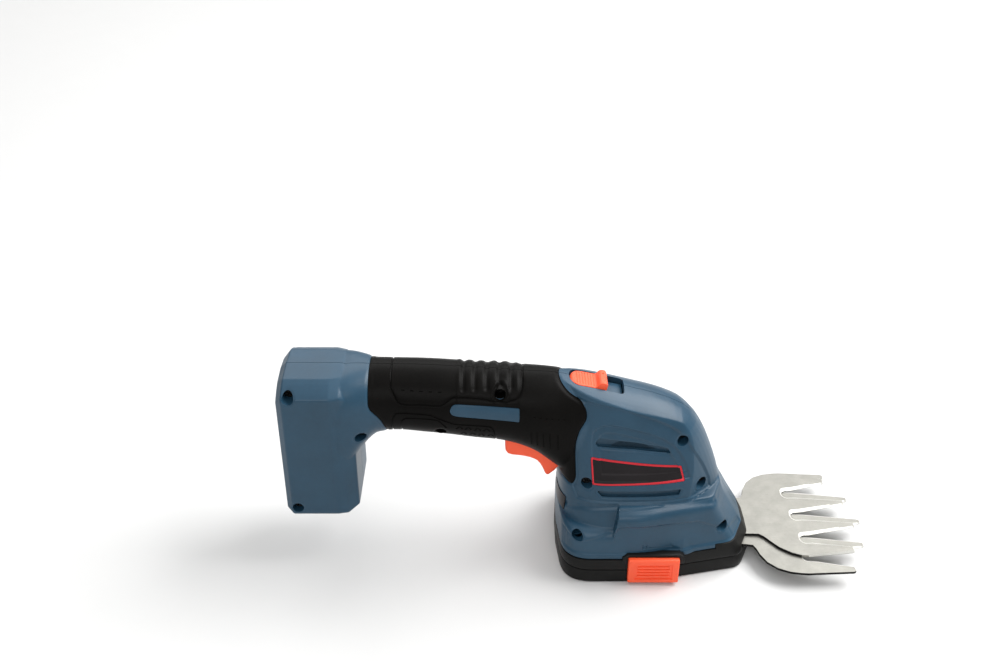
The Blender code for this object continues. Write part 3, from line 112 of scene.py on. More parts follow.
def loft(name, rings):
    # a circle of points that is extruded from section to section
    bpy.ops.mesh.primitive_circle_add(vertices=len(rings[0]), radius=1, fill_type="NGON")
    piece = bpy.context.active_object
    piece.name = name
    piece.data.name = name
    bpy.ops.object.mode_set(mode="EDIT")
    bm = bmesh.from_edit_mesh(piece.data)
    for vert, place in zip(bm.verts, rings[0]):
        vert.co = place
    for ring in rings[1:]:
        bpy.ops.mesh.extrude_region_move()
        bm = bmesh.from_edit_mesh(piece.data)
        for vert, place in zip([vert for vert in bm.verts if vert.select], ring):
            vert.co = place
        bmesh.update_edit_mesh(piece.data)
    bpy.ops.mesh.select_all(action="SELECT")
    bpy.ops.mesh.normals_make_consistent(inside=False)
    bpy.ops.object.mode_set(mode="OBJECT")
    return piece


def prism(name, outline, low, high, axis="Y"):
    # an outline of (x, z) drawn out along Y, or of (x, y) along Z
    if axis == "Y":
        return loft(name, [[(x, low, z) for x, z in outline], [(x, high, z) for x, z in outline]])
    return loft(name, [[(x, y, low) for x, y in outline], [(x, y, high) for x, y in outline]])


def block(name, low, high):
    bpy.ops.mesh.primitive_cube_add(size=1)
    piece = bpy.context.active_object
    piece.name = name
    piece.scale = [b - a for a, b in zip(low, high)]
    piece.location = [(a + b) / 2 for a, b in zip(low, high)]
    bpy.ops.object.transform_apply(location=True, rotation=True, scale=True)
    return piece


def softenEdges(piece, width, segments=3, angle=40):
    return applyModifier(piece, "BEVEL", width=width, segments=segments, limit_method="ANGLE",
                         angle_limit=math.radians(angle), harden_normals=False)


def rod(name, start, end, radius, sides=32, endRadius=None):
    start, end = Vector(start), Vector(end)
    bpy.ops.mesh.primitive_cone_add(vertices=sides, radius1=radius, depth=(end - start).length,
                                    radius2=radius if endRadius is None else endRadius)
    piece = bpy.context.active_object
    piece.name = name
    piece.rotation_euler = (end - start).to_track_quat("Z", "Y").to_euler()
    piece.location = (start + end) / 2
    bpy.ops.object.transform_apply(location=True, rotation=True, scale=True)
    return piece


def wire(name, path, radius):
    # a round wire along a list of points
    curve = bpy.data.curves.new(name, "CURVE")
    curve.dimensions = "3D"
    curve.bevel_depth = radius
    curve.bevel_resolution = 2
    curve.use_fill_caps = True
    spline = curve.splines.new("POLY")
    spline.points.add(len(path) - 1)
    for point, place in zip(spline.points, path):
        point.co = (*place, 1)
    holder = bpy.data.objects.new(name, curve)
    bpy.context.collection.objects.link(holder)
    activate(holder)
    bpy.ops.object.convert(target="MESH")
    bpy.ops.object.mode_set(mode="EDIT")
    bpy.ops.mesh.select_all(action="SELECT")
    bpy.ops.mesh.remove_doubles(threshold=0.001)
    bpy.ops.mesh.normals_make_consistent(inside=False)
    bpy.ops.object.mode_set(mode="OBJECT")
    return bpy.context.active_object


def grooves(piece, paths, radius):
    # cut one by one, so that crossing grooves stay closed
    for path in paths:
        boolean(piece, wire("groove", path, radius))
    return piece


def moved(piece, matrix):
    piece.data.transform(matrix)
    if matrix.determinant() < 0:
        piece.data.flip_normals()
    return piece


def handOver(piece, name, body, slotName, replaced=None, smoothAngle=32, looks=None):
    # scaled to metres and given to its body, in the slot's own finish unless others are named
    piece.name = name
    piece.data.name = name
    piece.data.transform(Matrix.Scale(0.001, 4))
    choice = [face.material_index for face in piece.data.polygons]
    piece.data.materials.clear()
    for look in looks or [slotName]:
        piece.data.materials.append(finishes[look])
    if looks and len(looks) > 1:
        piece.data.polygons.foreach_set("material_index", choice)
    activate(piece)
    bpy.ops.object.shade_smooth_by_angle(angle=math.radians(smoothAngle), keep_sharp_edges=False)
    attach(piece, body)
    if replaced:
        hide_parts(replaced)
    return piece


def mirroredTwin(piece, name):
    return moved(duplicate(piece, name), Matrix.Scale(-1, 4, Vector((0, 1, 0))))


def rightHalf(piece, name):
    # the part right of the middle plane, less half the parting gap, closed along it
    twin = duplicate(piece, name)
    bpy.ops.object.mode_set(mode="EDIT")
    bpy.ops.mesh.select_all(action="SELECT")
    bpy.ops.mesh.bisect(plane_co=(0, -0.15, 0), plane_no=(0, 1, 0), use_fill=True, clear_outer=True)
    bpy.ops.object.mode_set(mode="OBJECT")
    return twin


def curveThrough(points):
    # a smooth reading of a list of (place, value)
    xs, ys = np.array(sorted(points), float).T
    slopes = np.gradient(ys, xs)

    def read(x):
        x = np.clip(x, xs[0], xs[-1])
        i = np.clip(np.searchsorted(xs, x) - 1, 0, len(xs) - 2)
        h = xs[i + 1] - xs[i]
        t = (x - xs[i]) / h
        return ((2 * t ** 3 - 3 * t ** 2 + 1) * ys[i] + (t ** 3 - 2 * t ** 2 + t) * h * slopes[i]
                + (3 * t ** 2 - 2 * t ** 3) * ys[i + 1] + (t ** 3 - t ** 2) * h * slopes[i + 1])
    return read


def densify(points, step, closed=False):
    # straight runs cut into short ones
    points = [Vector(p) for p in points]
    ends = points[1:] + ([points[0]] if closed else [])
    result = []
    for a, b in zip(points, ends):
        count = max(1, round((b - a).length / step))
        result += [a.lerp(b, i / count) for i in range(count)]
    return result if closed else result + [points[-1]]


def softLine(points, step=1.0):
    # a rounded run through chosen points
    knots = [Vector(p) for p in points]
    ends = [2 * knots[0] - knots[1]] + knots + [2 * knots[-1] - knots[-2]]
    run = []
    for a, b, c, d in zip(ends, ends[1:], ends[2:], ends[3:]):
        count = max(1, round((c - b).length / step))
        for i in range(count):
            t = i / count
            run.append(0.5 * (2 * b + (c - a) * t + (2 * a - 5 * b + 4 * c - d) * t ** 2
                              + (3 * b - a - 3 * c + d) * t ** 3))
    return run + [knots[-1]]


def roundCorners(outline, radius, steps=5):
    # each corner of a closed outline becomes a short curve
    result = []
    for i, spot in enumerate(outline):
        here, before, after = Vector(spot), Vector(outline[i - 1]), Vector(outline[(i + 1) % len(outline)])
        back, on = before - here, after - here
        reach = min(radius, back.length * 0.45, on.length * 0.45)
        start, end = here + back.normalized() * reach, here + on.normalized() * reach
        for k in range(steps + 1):
            t = k / steps
            result.append(tuple((1 - t) ** 2 * start + 2 * t * (1 - t) * here + t * t * end))
    return result


def grown(outline, margins):
    # an outline moved outwards, by one margin or by one for each point
    count = len(outline)
    if not isinstance(margins, (list, tuple)):
        margins = [margins] * count
    area = sum(outline[i][0] * outline[(i + 1) % count][1] - outline[(i + 1) % count][0] * outline[i][1]
               for i in range(count))
    side = 1 if area > 0 else -1
    result = []
    for i, spot in enumerate(outline):
        here, before, after = Vector(spot), Vector(outline[i - 1]), Vector(outline[(i + 1) % count])
        first, second = (here - before).normalized(), (after - here).normalized()
        normal = Vector((first.y + second.y, -first.x - second.x)) * side
        normal /= max(normal.length, 1e-9)
        stretch = max(0.5, normal.dot(Vector((first.y, -first.x)) * side))
        result.append(tuple(here + normal * margins[i] / stretch))
    return result


def bulge(angle, wide, tall, power):
    c, s = math.cos(angle), math.sin(angle)
    return (wide * math.copysign(abs(c) ** (2 / power), c), tall * math.copysign(abs(s) ** (2 / power), s))


def meshArrays(piece):
    count = len(piece.data.vertices)
    places, normals = np.empty(count * 3, np.float32), np.empty(count * 3, np.float32)
    piece.data.vertices.foreach_get("co", places)
    piece.data.vertices.foreach_get("normal", normals)
    return places.reshape(-1, 3).astype(float), normals.reshape(-1, 3).astype(float)


def distanceTo(line, spots, closed):
    # distance from each spot to a line of (x, z), and whether it lies inside a closed one
    line = np.array([tuple(p) for p in line], float)
    ends = np.roll(line, -1, 0) if closed else line[1:]
    starts = line if closed else line[:-1]
    best = np.full(len(spots), 1e9)
    inside = np.zeros(len(spots), bool)
    for a, b in zip(starts, ends):
        run = b - a
        t = np.clip(((spots - a) @ run) / max(run @ run, 1e-12), 0, 1)
        best = np.minimum(best, np.hypot(*(spots - a - t[:, None] * run).T))
        if closed and a[1] != b[1]:
            crosses = (a[1] > spots[:, 1]) != (b[1] > spots[:, 1])
            inside ^= crosses & (spots[:, 0] < a[0] + (spots[:, 1] - a[1]) * run[0] / (b[1] - a[1]))
    return best, inside


def ramp(value):
    value = np.clip(value, 0, 1)
    return value * value * (3 - 2 * value)


def sculpt(piece, marks):
    # raises or sinks the walls along lines or inside outlines, as seen from the side
    places, normals = meshArrays(piece)
    lift = np.zeros(len(places))
    for mark in marks:
        line = np.array([tuple(p) for p in mark["line"]], float)
        margin = 3 * mark["width"]
        seen = places[:, [0, 2]]
        near = np.all((seen > line.min(0) - margin) & (seen < line.max(0) + margin), axis=1)
        facing = mark.get("facing", 0.2)
        near &= np.abs(normals[:, 1]) >= facing
        spots = seen[near]
        area = mark.get("area", False)
        reach, inside = distanceTo(mark["line"], spots, area or mark.get("closed", False))
        if area:
            amount = ramp(np.where(inside, reach, -reach) / mark["width"] + 0.5)
        else:
            amount = np.exp(-(reach / mark["width"]) ** 2)
        if facing > 0:
            amount = amount * ramp((np.abs(normals[near, 1]) - facing) / 0.25)
        lift[near] += mark["height"] * amount
    places += normals * lift[:, None]
    piece.data.vertices.foreach_set("co", places.astype(np.float32).ravel())
    piece.data.update()
    return piece


def treeOf(piece):
    return BVHTree.FromObject(piece, bpy.context.evaluated_depsgraph_get())


def onSide(tree, x, z, deeper=0):
    # the point of the right wall behind (x, z), moved in by an amount
    hit = tree.ray_cast(Vector((x, -90, z)), Vector((0, 1, 0)))
    return None if hit[0] is None else hit[0] - hit[1] * deeper


def sidePath(tree, line):
    run = [onSide(tree, x, z) for x, z in densify(line, 0.8)]
    return [p for p in run if p is not None]


def sectionPath(tree, x, middleZ, lowest):
    # over the top of the handle at one x, from just past the middle down the right side
    run = []
    for angle in np.radians(np.arange(89.0, 200, 3.0)):
        way = Vector((0, math.cos(angle), math.sin(angle)))
        hit = tree.ray_cast(Vector((x, 0, middleZ)) + way * 60, -way)
        if hit[0] is None or hit[0].z < lowest:
            break
        run.append(hit[0])
    return run


report("helpers ready")


class Flow:
    # a node socket that can be used in sums

    def __init__(self, tree, socket):
        self.tree = tree
        self.socket = socket

    def make(self, kind, inputs=None, output=0, **settings):
        node = self.tree.nodes.new(kind)
        for name, value in settings.items():
            setattr(node, name, value)
        for key, value in (inputs or {}).items():
            if isinstance(value, Flow):
                self.tree.links.new(value.socket, node.inputs[key])
            else:
                node.inputs[key].default_value = value
        return Flow(self.tree, node.outputs[output])

    def sum(self, operation, first, second):
        return self.make("ShaderNodeMath", {0: first, 1: second}, operation=operation)

    def __add__(self, other):
        return self.sum("ADD", self, other)

    def __radd__(self, other):
        return self.sum("ADD", other, self)

    def __sub__(self, other):
        return self.sum("SUBTRACT", self, other)

    def __rsub__(self, other):
        return self.sum("SUBTRACT", other, self)

    def __mul__(self, other):
        return self.sum("MULTIPLY", self, other)

    def __rmul__(self, other):
        return self.sum("MULTIPLY", other, self)

    def between(self, low, high):
        # 0 below low, 1 above high
        return self.make("ShaderNodeMapRange", {0: self, 1: low, 2: high, 3: 0.0, 4: 1.0}, clamp=True)

    def noise(self, scale, detail, rough, stretch=(1, 1, 1)):
        spread = self.make("ShaderNodeMapping", {"Vector": self, "Scale": stretch})
        return self.make("ShaderNodeTexNoise", {"Vector": spread, "Scale": scale, "Detail": detail,
                                                "Roughness": rough})

    def blend(self, first, second):
        return self.make("ShaderNodeMix", {0: self, 6: first, 7: second}, output=2, data_type="RGBA")


def finish(name, build):
    material = bpy.data.materials.new(name)
    material.use_nodes = True
    tree = material.node_tree
    shader = tree.nodes["Principled BSDF"]
    start = Flow(tree, None)
    spot = start.make("ShaderNodeTexCoord", output=3)
    for key, value in build(spot).items():
        if key == "Bump":
            height, distance = value
            value = spot.make("ShaderNodeBump", {"Height": height, "Distance": distance, "Strength": 1.0})
            key = "Normal"
        if isinstance(value, Flow):
            tree.links.new(value.socket, shader.inputs[key])
        else:
            shader.inputs[key].default_value = value
    return material


def tone(colour, share=1.0):
    return (*[min(1, channel * share) for channel in colour], 1)


def moulded(colour, roughness, grain=3200, grainDepth=0.00003, mottle=0.16, dust=0.0, coat=0.0,
            dustColour=(0.5, 0.5, 0.48), shine=0.5, scuff=0.06):
    # a grained moulding: slight colour drift, handling marks and fine scratches
    def build(spot):
        cloud = spot.noise(28, 3, 0.6)
        fine = spot.noise(420, 2, 0.55)
        speck = spot.noise(grain, 1.5, 0.6)
        scuffs = spot.noise(900, 3, 0.7, stretch=(0.18, 1, 1)).between(0.62, 0.8)
        share = cloud.between(0.3, 0.7)
        base = share.blend(tone(colour, 1 - mottle), tone(colour, 1 + mottle))
        base = (fine.between(0.35, 0.75) * 0.22).blend(base, tone(colour, 1 + 2.2 * mottle))
        base = (scuffs * scuff + spot.noise(60, 4, 0.65).between(0.5, 0.85) * dust).blend(base,
                                                                                          tone(dustColour))
        rough = roughness - 0.06 + cloud * 0.1 + speck * 0.06 - scuffs * 0.06
        return {"Base Color": base, "Roughness": rough, "Coat Weight": coat, "Specular IOR Level": shine,
                "Bump": (speck + fine * 0.35 - scuffs * 0.25, grainDepth)}
    return build


def brushed(colour, roughness, stretch=(0.05, 1, 1), mottle=0.12, metallic=1.0, stain=0.2,
            stainColour=(0.2, 0.17, 0.14)):
    # ground metal: lines of the wheel, dull patches, small stains
    def build(spot):
        lines = spot.noise(2600, 3, 0.7, stretch=stretch)
        patch = spot.noise(110, 4, 0.62)
        speckle = spot.noise(700, 3, 0.7).between(0.55, 0.78)
        base = patch.between(0.32, 0.68).blend(tone(colour, 1 - mottle), tone(colour, 1 + mottle))
        base = (lines.between(0.3, 0.7) * 0.35).blend(base, tone(colour, 1 - 1.6 * mottle))
        base = (speckle * stain).blend(base, tone(stainColour))
        rough = roughness + lines * 0.12 + patch * 0.12 - 0.1 + speckle * 0.12
        return {"Base Color": base, "Metallic": metallic, "Roughness": rough,
                "Bump": (lines + speckle * 0.4, 0.000006)}
    return build


plasticLooks = {
    "blue_plastic": ("bluePlastic", (0.0135, 0.050, 0.088), 0.36,
                     {"dust": 0.02, "dustColour": (0.12, 0.2, 0.26), "shine": 0.36, "scuff": 0.03}),
    "black_plastic": ("blackPlastic", (0.0055, 0.0055, 0.0053), 0.42,
                      {"mottle": 0.3, "dust": 0.006, "shine": 0.16, "scuff": 0.01}),
    "grip_rubber": ("gripRubber", (0.0034, 0.0031, 0.0028), 0.38,
                    {"grain": 2400, "mottle": 0.3, "dust": 0.002, "shine": 0.05, "scuff": 0.004}),
    "orange_plastic": ("orangePlastic", (0.95, 0.095, 0.028), 0.45,
                       {"mottle": 0.07, "grainDepth": 0.00002, "dust": 0.02, "dustColour": (0.9, 0.35, 0.2)}),
    "dark_steel": ("darkSteel", (0.009, 0.009, 0.0095), 0.42, {"shine": 0.12, "scuff": 0.01}),
    # painted shade: the blades' sheared edges, near black and not metallic, stand in for the shadow in the
    # gap along the blade shoulders
    "sheared_edge_painted_shade": ("shearedEdge", (0.008, 0.008, 0.008), 0.55, {"shine": 0.08, "scuff": 0.01}),
    "white_plastic": ("gearPlastic", (0.72, 0.7, 0.64), 0.42, {"mottle": 0.05}),
    "board_green": ("boardGreen", (0.02, 0.16, 0.06), 0.35, {"mottle": 0.2}),
    "cell": ("cellWrap", (0.06, 0.26, 0.16), 0.3, {"mottle": 0.08, "coat": 0.3}),
    "red_plastic": ("redPlastic", (0.55, 0.03, 0.04), 0.35, {"mottle": 0.08}),
    "label_red": ("labelRed", (0.52, 0.022, 0.034), 0.38, {"mottle": 0.06, "grainDepth": 0.000008,
                                                           "shine": 0.2}),
    "label_dark": ("labelDark", (0.012, 0.010, 0.011), 0.38,
                   {"mottle": 0.2, "grainDepth": 0.000008, "shine": 0.15, "scuff": 0.01}),
}
metalLooks = {
    "blade_steel": ("bladeSteel", (0.265, 0.26, 0.236), 0.42, {"metallic": 0.85}),
    "ground_edge": ("groundEdge", (0.62, 0.615, 0.575), 0.32,
                    {"stretch": (1, 0.06, 1), "metallic": 0.3, "stain": 0.05}),
    "steel": ("turnedSteel", (0.6, 0.59, 0.57), 0.34, {"stretch": (1, 1, 0.1)}),
    "brass": ("turnedBrass", (0.72, 0.5, 0.2), 0.3, {"stretch": (1, 1, 0.1)}),
}
finishes = {}
for looks, kind in ((plasticLooks, moulded), (metalLooks, brushed)):
    for key, (name, colour, roughness, settings) in looks.items():
        finishes[key] = finish(name, kind(colour, roughness, **settings))
report("finishes ready")

bodySizes = {
    "widestX": -35, "footRear": -68.2, "footFront": 46.8, "footHalf": 41.8, "footRearFlat": 9,
    "footCorners": [(-64.8, 41.8, 18), (-17, 41.8, 90), (38.2, 29.6, 10), (46.6, 11.0, 8)],
    "blueBottom": 17.0, "headRear": -68, "headPower": 2.6, "frontReach": 4, "headTop": 122,
    "frontLine": [(46.8, 3), (45.8, 9.5), (42.6, 16.5), (37.8, 25.2), (33, 33.2), (27.4, 44), (23.4, 57),
                  (19, 69.5), (14, 81), (9.4, 88.6), (5.4, 92.9), (1.0, 96.3), (-5, 99.6), (-12, 102.5),
                  (-22, 105.7), (-45, 112), (-100, 122)],
    "crownLine": [(-100, 121), (-72, 117.6), (-60, 115.2), (-45, 111.8), (-30, 107.8), (-12, 102.5),
                  (-5, 99.6), (1.0, 96.3), (5.4, 92.9), (9.4, 88.6), (14, 81), (19, 69.5), (30, 40),
                  (60, -40)],
    "crownRadius": 25, "frontRadius": 19, "wrapHalf": 46, "wrapRear": -130,
    "ledgeZ": 48.5, "ledgeHalf": 32, "flankSlope": 0.289,
    "skirtHalf": 41.3, "skirtSlope": 0.03, "skirtFoot": 16.7, "skirtTop": 49, "skirtLowTop": 36,
    "skirtStepX": -36, "skirtRound": 8, "skirtCavity": 3.2,
    "handle": [(-192, 121.5, 62, 25.8), (-187, 122.6, 64, 25.4), (-183.5, 123.2, 66, 24.7),
               (-180, 123.3, 72, 23.6), (-175.5, 123.2, 77.3, 22.1), (-170.5, 123.0, 81.2, 20.9),
               (-165, 122.9, 82.7, 20.4), (-140, 122.3, 81.6, 20.4), (-115, 120.5, 78.0, 20.5),
               (-98, 119.3, 75.6, 20.8), (-88, 118.6, 72.2, 21.2), (-80, 118.1, 67.6, 21.5),
               (-74, 117.7, 62.2, 21.7), (-66, 116.6, 55.6, 21.4), (-58, 113.6, 55.5, 20.0),
               (-50, 109, 60, 17.6), (-44, 104, 66, 15.0)],
    "handleEnds": (-192, -44), "handlePower": 2.1, "neckPower": 1.7, "neckStart": -170, "neckLength": 18,
    "boxRear": -222, "boxHalf": 26.5, "boxBottom": 35.5, "boxTop": 123.6, "boxFootCut": 3,
    "boxShoulder": [(11.7, 1.1), (8.4, 2.3), (5.4, 3.7), (2.8, 5.2), (1.0, 6.5), (0, 7.4)],
    "boxStations": [(0, 3.8, 3.8), (3.8, 0, 0), (29, 0, 0), (34.7, 1.9, 0.2), (41, 6.0, 4.4)],
    "skin": 1.6, "wall": 2.4, "headWall": 5.2, "core": 4.2, "cavityFloor": 19.0, "sleeveBed": 1.9,
    "vent": 2.2, "plateBed": 3.7, "plateBack": 3.5, "bossRadius": 4,
}


def footHalfOutline(steps):
    # half the foot's outline from its corners, ends on the middle plane
    rear, front = bodySizes["footRear"], bodySizes["footFront"]
    corners = bodySizes["footCorners"]
    flat = bodySizes["footRearFlat"]
    stops = [(rear, flat)] + [c[:2] for c in corners] + [(front, 0)]
    points = [(rear, 0), (rear, flat / 2), (rear, flat)]
    for i, (x, y, radius) in enumerate(corners, 1):
        here = Vector((x, y))
        back, on = (Vector(stops[i - 1]) - here).normalized(), (Vector(stops[i + 1]) - here).normalized()
        reach = radius / math.tan(back.angle(on) / 2)
        for step in range(steps + 1):
            t = step / steps
            spot = (1 - t) ** 2 * (here + back * reach) + 2 * t * (1 - t) * here + t * t * (here + on * reach)
            points.append((spot.x, spot.y))
    return points + [(front, 0)]


frontAt = curveThrough([(z, x) for x, z in bodySizes["frontLine"]])
crownAt = curveThrough(bodySizes["crownLine"])
handleAt = [curveThrough([(row[0], row[k]) for row in bodySizes["handle"]]) for k in (1, 2, 3)]


def footRing(z, inset=0, width=None, steps=12):
    s = bodySizes
    width = s["footHalf"] if width is None else width
    front = min(s["footFront"], float(frontAt(z)))
    half = []
    for x, y in footHalfOutline(steps):
        if x > s["widestX"]:
            x = s["widestX"] + (x - s["widestX"]) * (front - s["widestX"]) / (s["footFront"] - s["widestX"])
        half.append((x, y * width / s["footHalf"]))
    ring = half + [(x, -y) for x, y in reversed(half[1:-1])]
    return [(x, y, z) for x, y in (grown(ring, -inset) if inset else ring)]


def footSolid(name, levels, steps=12):
    return loft(name, [footRing(z, inset, steps=steps) for z, inset in levels])


def headForm(inset=0, bottom=None, count=120, step=2.0):
    s = bodySizes
    rings = []
    for z in np.arange(s["blueBottom"] if bottom is None else bottom, s["headTop"], step):
        z = float(z)
        front = float(frontAt(z)) - inset
        half = s["ledgeHalf"] - s["flankSlope"] * (z - s["ledgeZ"]) - inset
        ring = []
        for i in range(count):
            angle = 2 * math.pi * i / count
            reach = s["widestX"] - s["headRear"] - inset
            if math.cos(angle) > 0:
                reach = front + s["frontReach"] - s["widestX"]
            x, y = bulge(angle, reach, half, s["headPower"])
            ring.append((s["widestX"] + x, y, z))
        rings.append(ring)
    head = loft("head", rings)
    # a crown arched across, then a front arched from side to side, cut to one crease
    arches, wraps = [], []
    edge, half, rear = s["crownRadius"] * 1.5, s["wrapHalf"], s["wrapRear"]
    for x in range(-100, 61, 4):
        rows = [(edge * (i - 15) / 15) for i in range(31)]
        arch = [(x, y, float(crownAt(x)) - inset - y * y / (2 * s["crownRadius"])) for y in rows]
        arches.append([(x, -edge, -20)] + arch + [(x, edge, -20)])
    boolean(head, loft("crown", arches), "INTERSECT")
    for z in range(8, 132, 4):
        rows = [(half * (i - 15) / 15) for i in range(31)]
        wrap = [(float(frontAt(z)) - inset - y * y / (2 * s["frontRadius"]), y, z) for y in rows]
        wraps.append(wrap + [(rear, half, z), (rear, -half, z)])
    return boolean(head, loft("wrap", wraps), "INTERSECT")


def skirtForm(inset=0, bottom=None, steps=12):
    s = bodySizes
    bottom = s["blueBottom"] if bottom is None else bottom
    forms = []
    for top in (s["skirtLowTop"], s["skirtTop"]):
        below = top - s["skirtRound"]
        levels = [bottom, (bottom + below) / 2]
        levels += [top - inset - s["skirtRound"] * (1 - math.sin(a * math.pi / 20)) for a in range(10)]
        rings = []
        for z in levels + [top - inset - 0.02]:
            height = z + inset
            half = s["skirtHalf"] - s["skirtSlope"] * (min(height, below) - s["skirtFoot"])
            if height > below:
                share = (height - below) / s["skirtRound"]
                half -= s["skirtRound"] * (1 - math.sqrt(max(0, 1 - share * share)))
            rings.append(footRing(z, inset, half, steps))
        forms.append(loft("skirt", rings))
    # the lower step runs all round, the higher one only ahead of a slanted line
    low, high = forms
    step = s["skirtStepX"] + inset
    ahead = prism("ahead", [(step - 3.2, 24), (step + 3.4, 60), (60, 60), (60, 0), (step - 6, 0)], -60, 60)
    boolean(high, ahead, "INTERSECT")
    return boolean(low, high, "UNION")


def handleForm(inset=0, count=96, step=1.5):
    s = bodySizes
    rings = []
    rear, front = s["handleEnds"]
    for x in np.arange(rear + inset, front - inset, step):
        top, bottom, half = (float(read(x)) for read in handleAt)
        middle, height = (top + bottom) / 2, (top - bottom) / 2 - inset
        power = s["handlePower"] + s["neckPower"] * min(1, max(0, (s["neckStart"] - x) / s["neckLength"]))
        ring = []
        for i in range(count):
            y, z = bulge(2 * math.pi * i / count, half - inset, height, power)
            ring.append((float(x), y, middle + z))
        rings.append(ring)
    return loft("handle", rings)


def boxForm(inset=0):
    s = bodySizes
    rings = []
    last = len(s["boxStations"]) - 1
    for i, (on, sideLess, topLess) in enumerate(s["boxStations"]):
        x = s["boxRear"] + on + (inset if i == 0 else -inset if i == last else 0)
        half, top = s["boxHalf"] - inset - sideLess, s["boxTop"] - inset - topLess
        bottom = s["boxBottom"] + inset + topLess
        cut = max(1.0, s["boxFootCut"] - inset / 2 - sideLess / 2)
        right = [(0, top)] + [(half - wide, top - tall) for wide, tall in s["boxShoulder"]]
        right += [(half, bottom + cut), (half - cut, bottom)]
        rings.append([(x, y, z) for y, z in right + [(-y, z) for y, z in reversed(right[1:])]])
    return loft("batteryBox", rings)


lockSizes = {
    "place": (-52, 0, 113.5), "slope": 12.5, "half": 6.9, "rear": -10.5, "front": 10.5, "travel": 9.5,
    "plateDepth": 5.4, "plate": 1.6, "slotGap": 0.7, "noseRound": 6,
}
lockFrame = Matrix.Translation(lockSizes["place"]) @ Matrix.Rotation(math.radians(lockSizes["slope"]), 4, "Y")


def lockBlock(low, high):
    return moved(block("lockBlock", low, high), lockFrame)


outlines = {
    "grip": roundCorners([(-172.4, 135), (-172.4, 107), (-166.2, 99.5), (-163.6, 91), (-163.6, 60),
                          (-98, 60), (-72, 51), (-66, 57.5), (-60.6, 55.6), (-58.6, 61), (-59.3, 74),
                          (-59.1, 84), (-57.2, 91), (-53.4, 96.5), (-53.6, 101), (-56.5, 106.5), (-64, 111.5),
                          (-69.5, 117), (-72.4, 124), (-72.4, 135)], 3),
    "window": roundCorners([(-128.8, 105.0), (-127.2, 108.2), (-124.2, 109.2), (-90.2, 106.3), (-90.2, 98.0),
                            (-124.2, 101.3), (-127.4, 102.3)], 1.2),
    "upperVent": roundCorners([(-48.4, 82.6), (-46.6, 85.5), (-26.3, 83.3), (-8.2, 79.7), (-6.0, 76.2),
                               (-26.2, 79.2), (-46.8, 80.6)], 1.1),
    "lowerVent": roundCorners([(-46.8, 56.0), (0.6, 55.5), (-0.6, 52.3), (-44.3, 52.7)], 0.9),
    "nameplate": roundCorners([(-50.6, 74.7), (-49.4, 59.3), (2.3, 60.2), (0.1, 68.5)], 0.6),
    "nameField": roundCorners([(-49.6, 73.4), (-48.5, 60.4), (1.0, 61.3), (-0.7, 67.5)], 0.3),
    "trigger": [(-99, 66), (-95, 62), (-86, 60), (-79, 56), (-76, 47), (-72, 49.5), (-68.6, 53.6),
                (-65.6, 57.6), (-61.6, 62.2), (-61.4, 74), (-66, 84), (-98.8, 84.6), (-98.8, 66)],
}
lines = {
    "rearRing": [(-160.4, 135), (-160.4, 118), (-158.8, 114.6), (-157.3, 111.9), (-155.2, 109.4),
                 (-150.9, 108.7), (-144, 108.7), (-135.4, 108), (-132.4, 108.4), (-128.5, 110.8),
                 (-125, 112), (-113, 111.3), (-100.9, 109.6), (-92.2, 110.6), (-89.4, 113.2), (-88.6, 117),
                 (-88.6, 135)],
    "contour2": [(-160.5, 82), (-160.3, 89.6), (-160, 98.1), (-158.5, 102.2), (-155.4, 103.8),
                 (-140.7, 102.9), (-137.3, 101.7), (-127.9, 97.2), (-123.5, 96.1), (-107.9, 95),
                 (-104.8, 92.9), (-103.4, 86.5), (-103.2, 79)],
    "contour3": [(-155.2, 82.5), (-155.3, 96.4), (-153.4, 99.6), (-150.5, 100.4), (-136.5, 99.5),
                 (-133.1, 97.1), (-130.2, 93.2)],
    "panel": [(-49.4, 68), (-50.1, 74.2), (-50.6, 82.3), (-50.1, 88.7), (-47.1, 92.2), (-41.5, 93.8),
              (-33.6, 92.8), (-23, 90.1), (-15.8, 87.7), (-9.3, 84.4), (-3.7, 80.3), (0.3, 74.9),
              (3.3, 68.8), (6, 61.7), (7.6, 54.8), (7.9, 50)],
    "crease": [(-60.9, 109.4), (-53.1, 106.9), (-44.4, 105.1), (-35.7, 103.5), (-26.9, 100.8), (-17.9, 97.6),
               (-8.7, 93.3), (-2.1, 88.9), (3.8, 81.7), (9.5, 72.7), (14.4, 63.5), (17.9, 55.4)],
}
ribPlaces = [-121, -114.7, -108.2, -101.5, -94.8]
screwSizes = {
    "box_screw_top": (-214.5, 116.5, 23.4), "box_screw_bottom": (-215.2, 42.4, 26.5),
    "neck_screw": (-177.6, 88.5, 20.0), "grip_screw_front": (-101, 113.0, 14.4),
    "grip_screw_rear": (-133.7, 88.5, 13.0), "head_screw_top": (0.4, 83.0, 15.5),
    "head_screw_front": (12.6, 54.5, 18.5), "head_screw_rear": (-52.5, 59.5, 26.5),
    "skirt_screw_rear": (-57.5, 31.5, 26.0), "skirt_screw_front": (25.6, 30.0, 27.2),
}


def circleAround(x, z, radius, count=24):
    return [(x + radius * math.cos(a), z + radius * math.sin(a))
            for a in (2 * math.pi * i / count for i in range(count))]


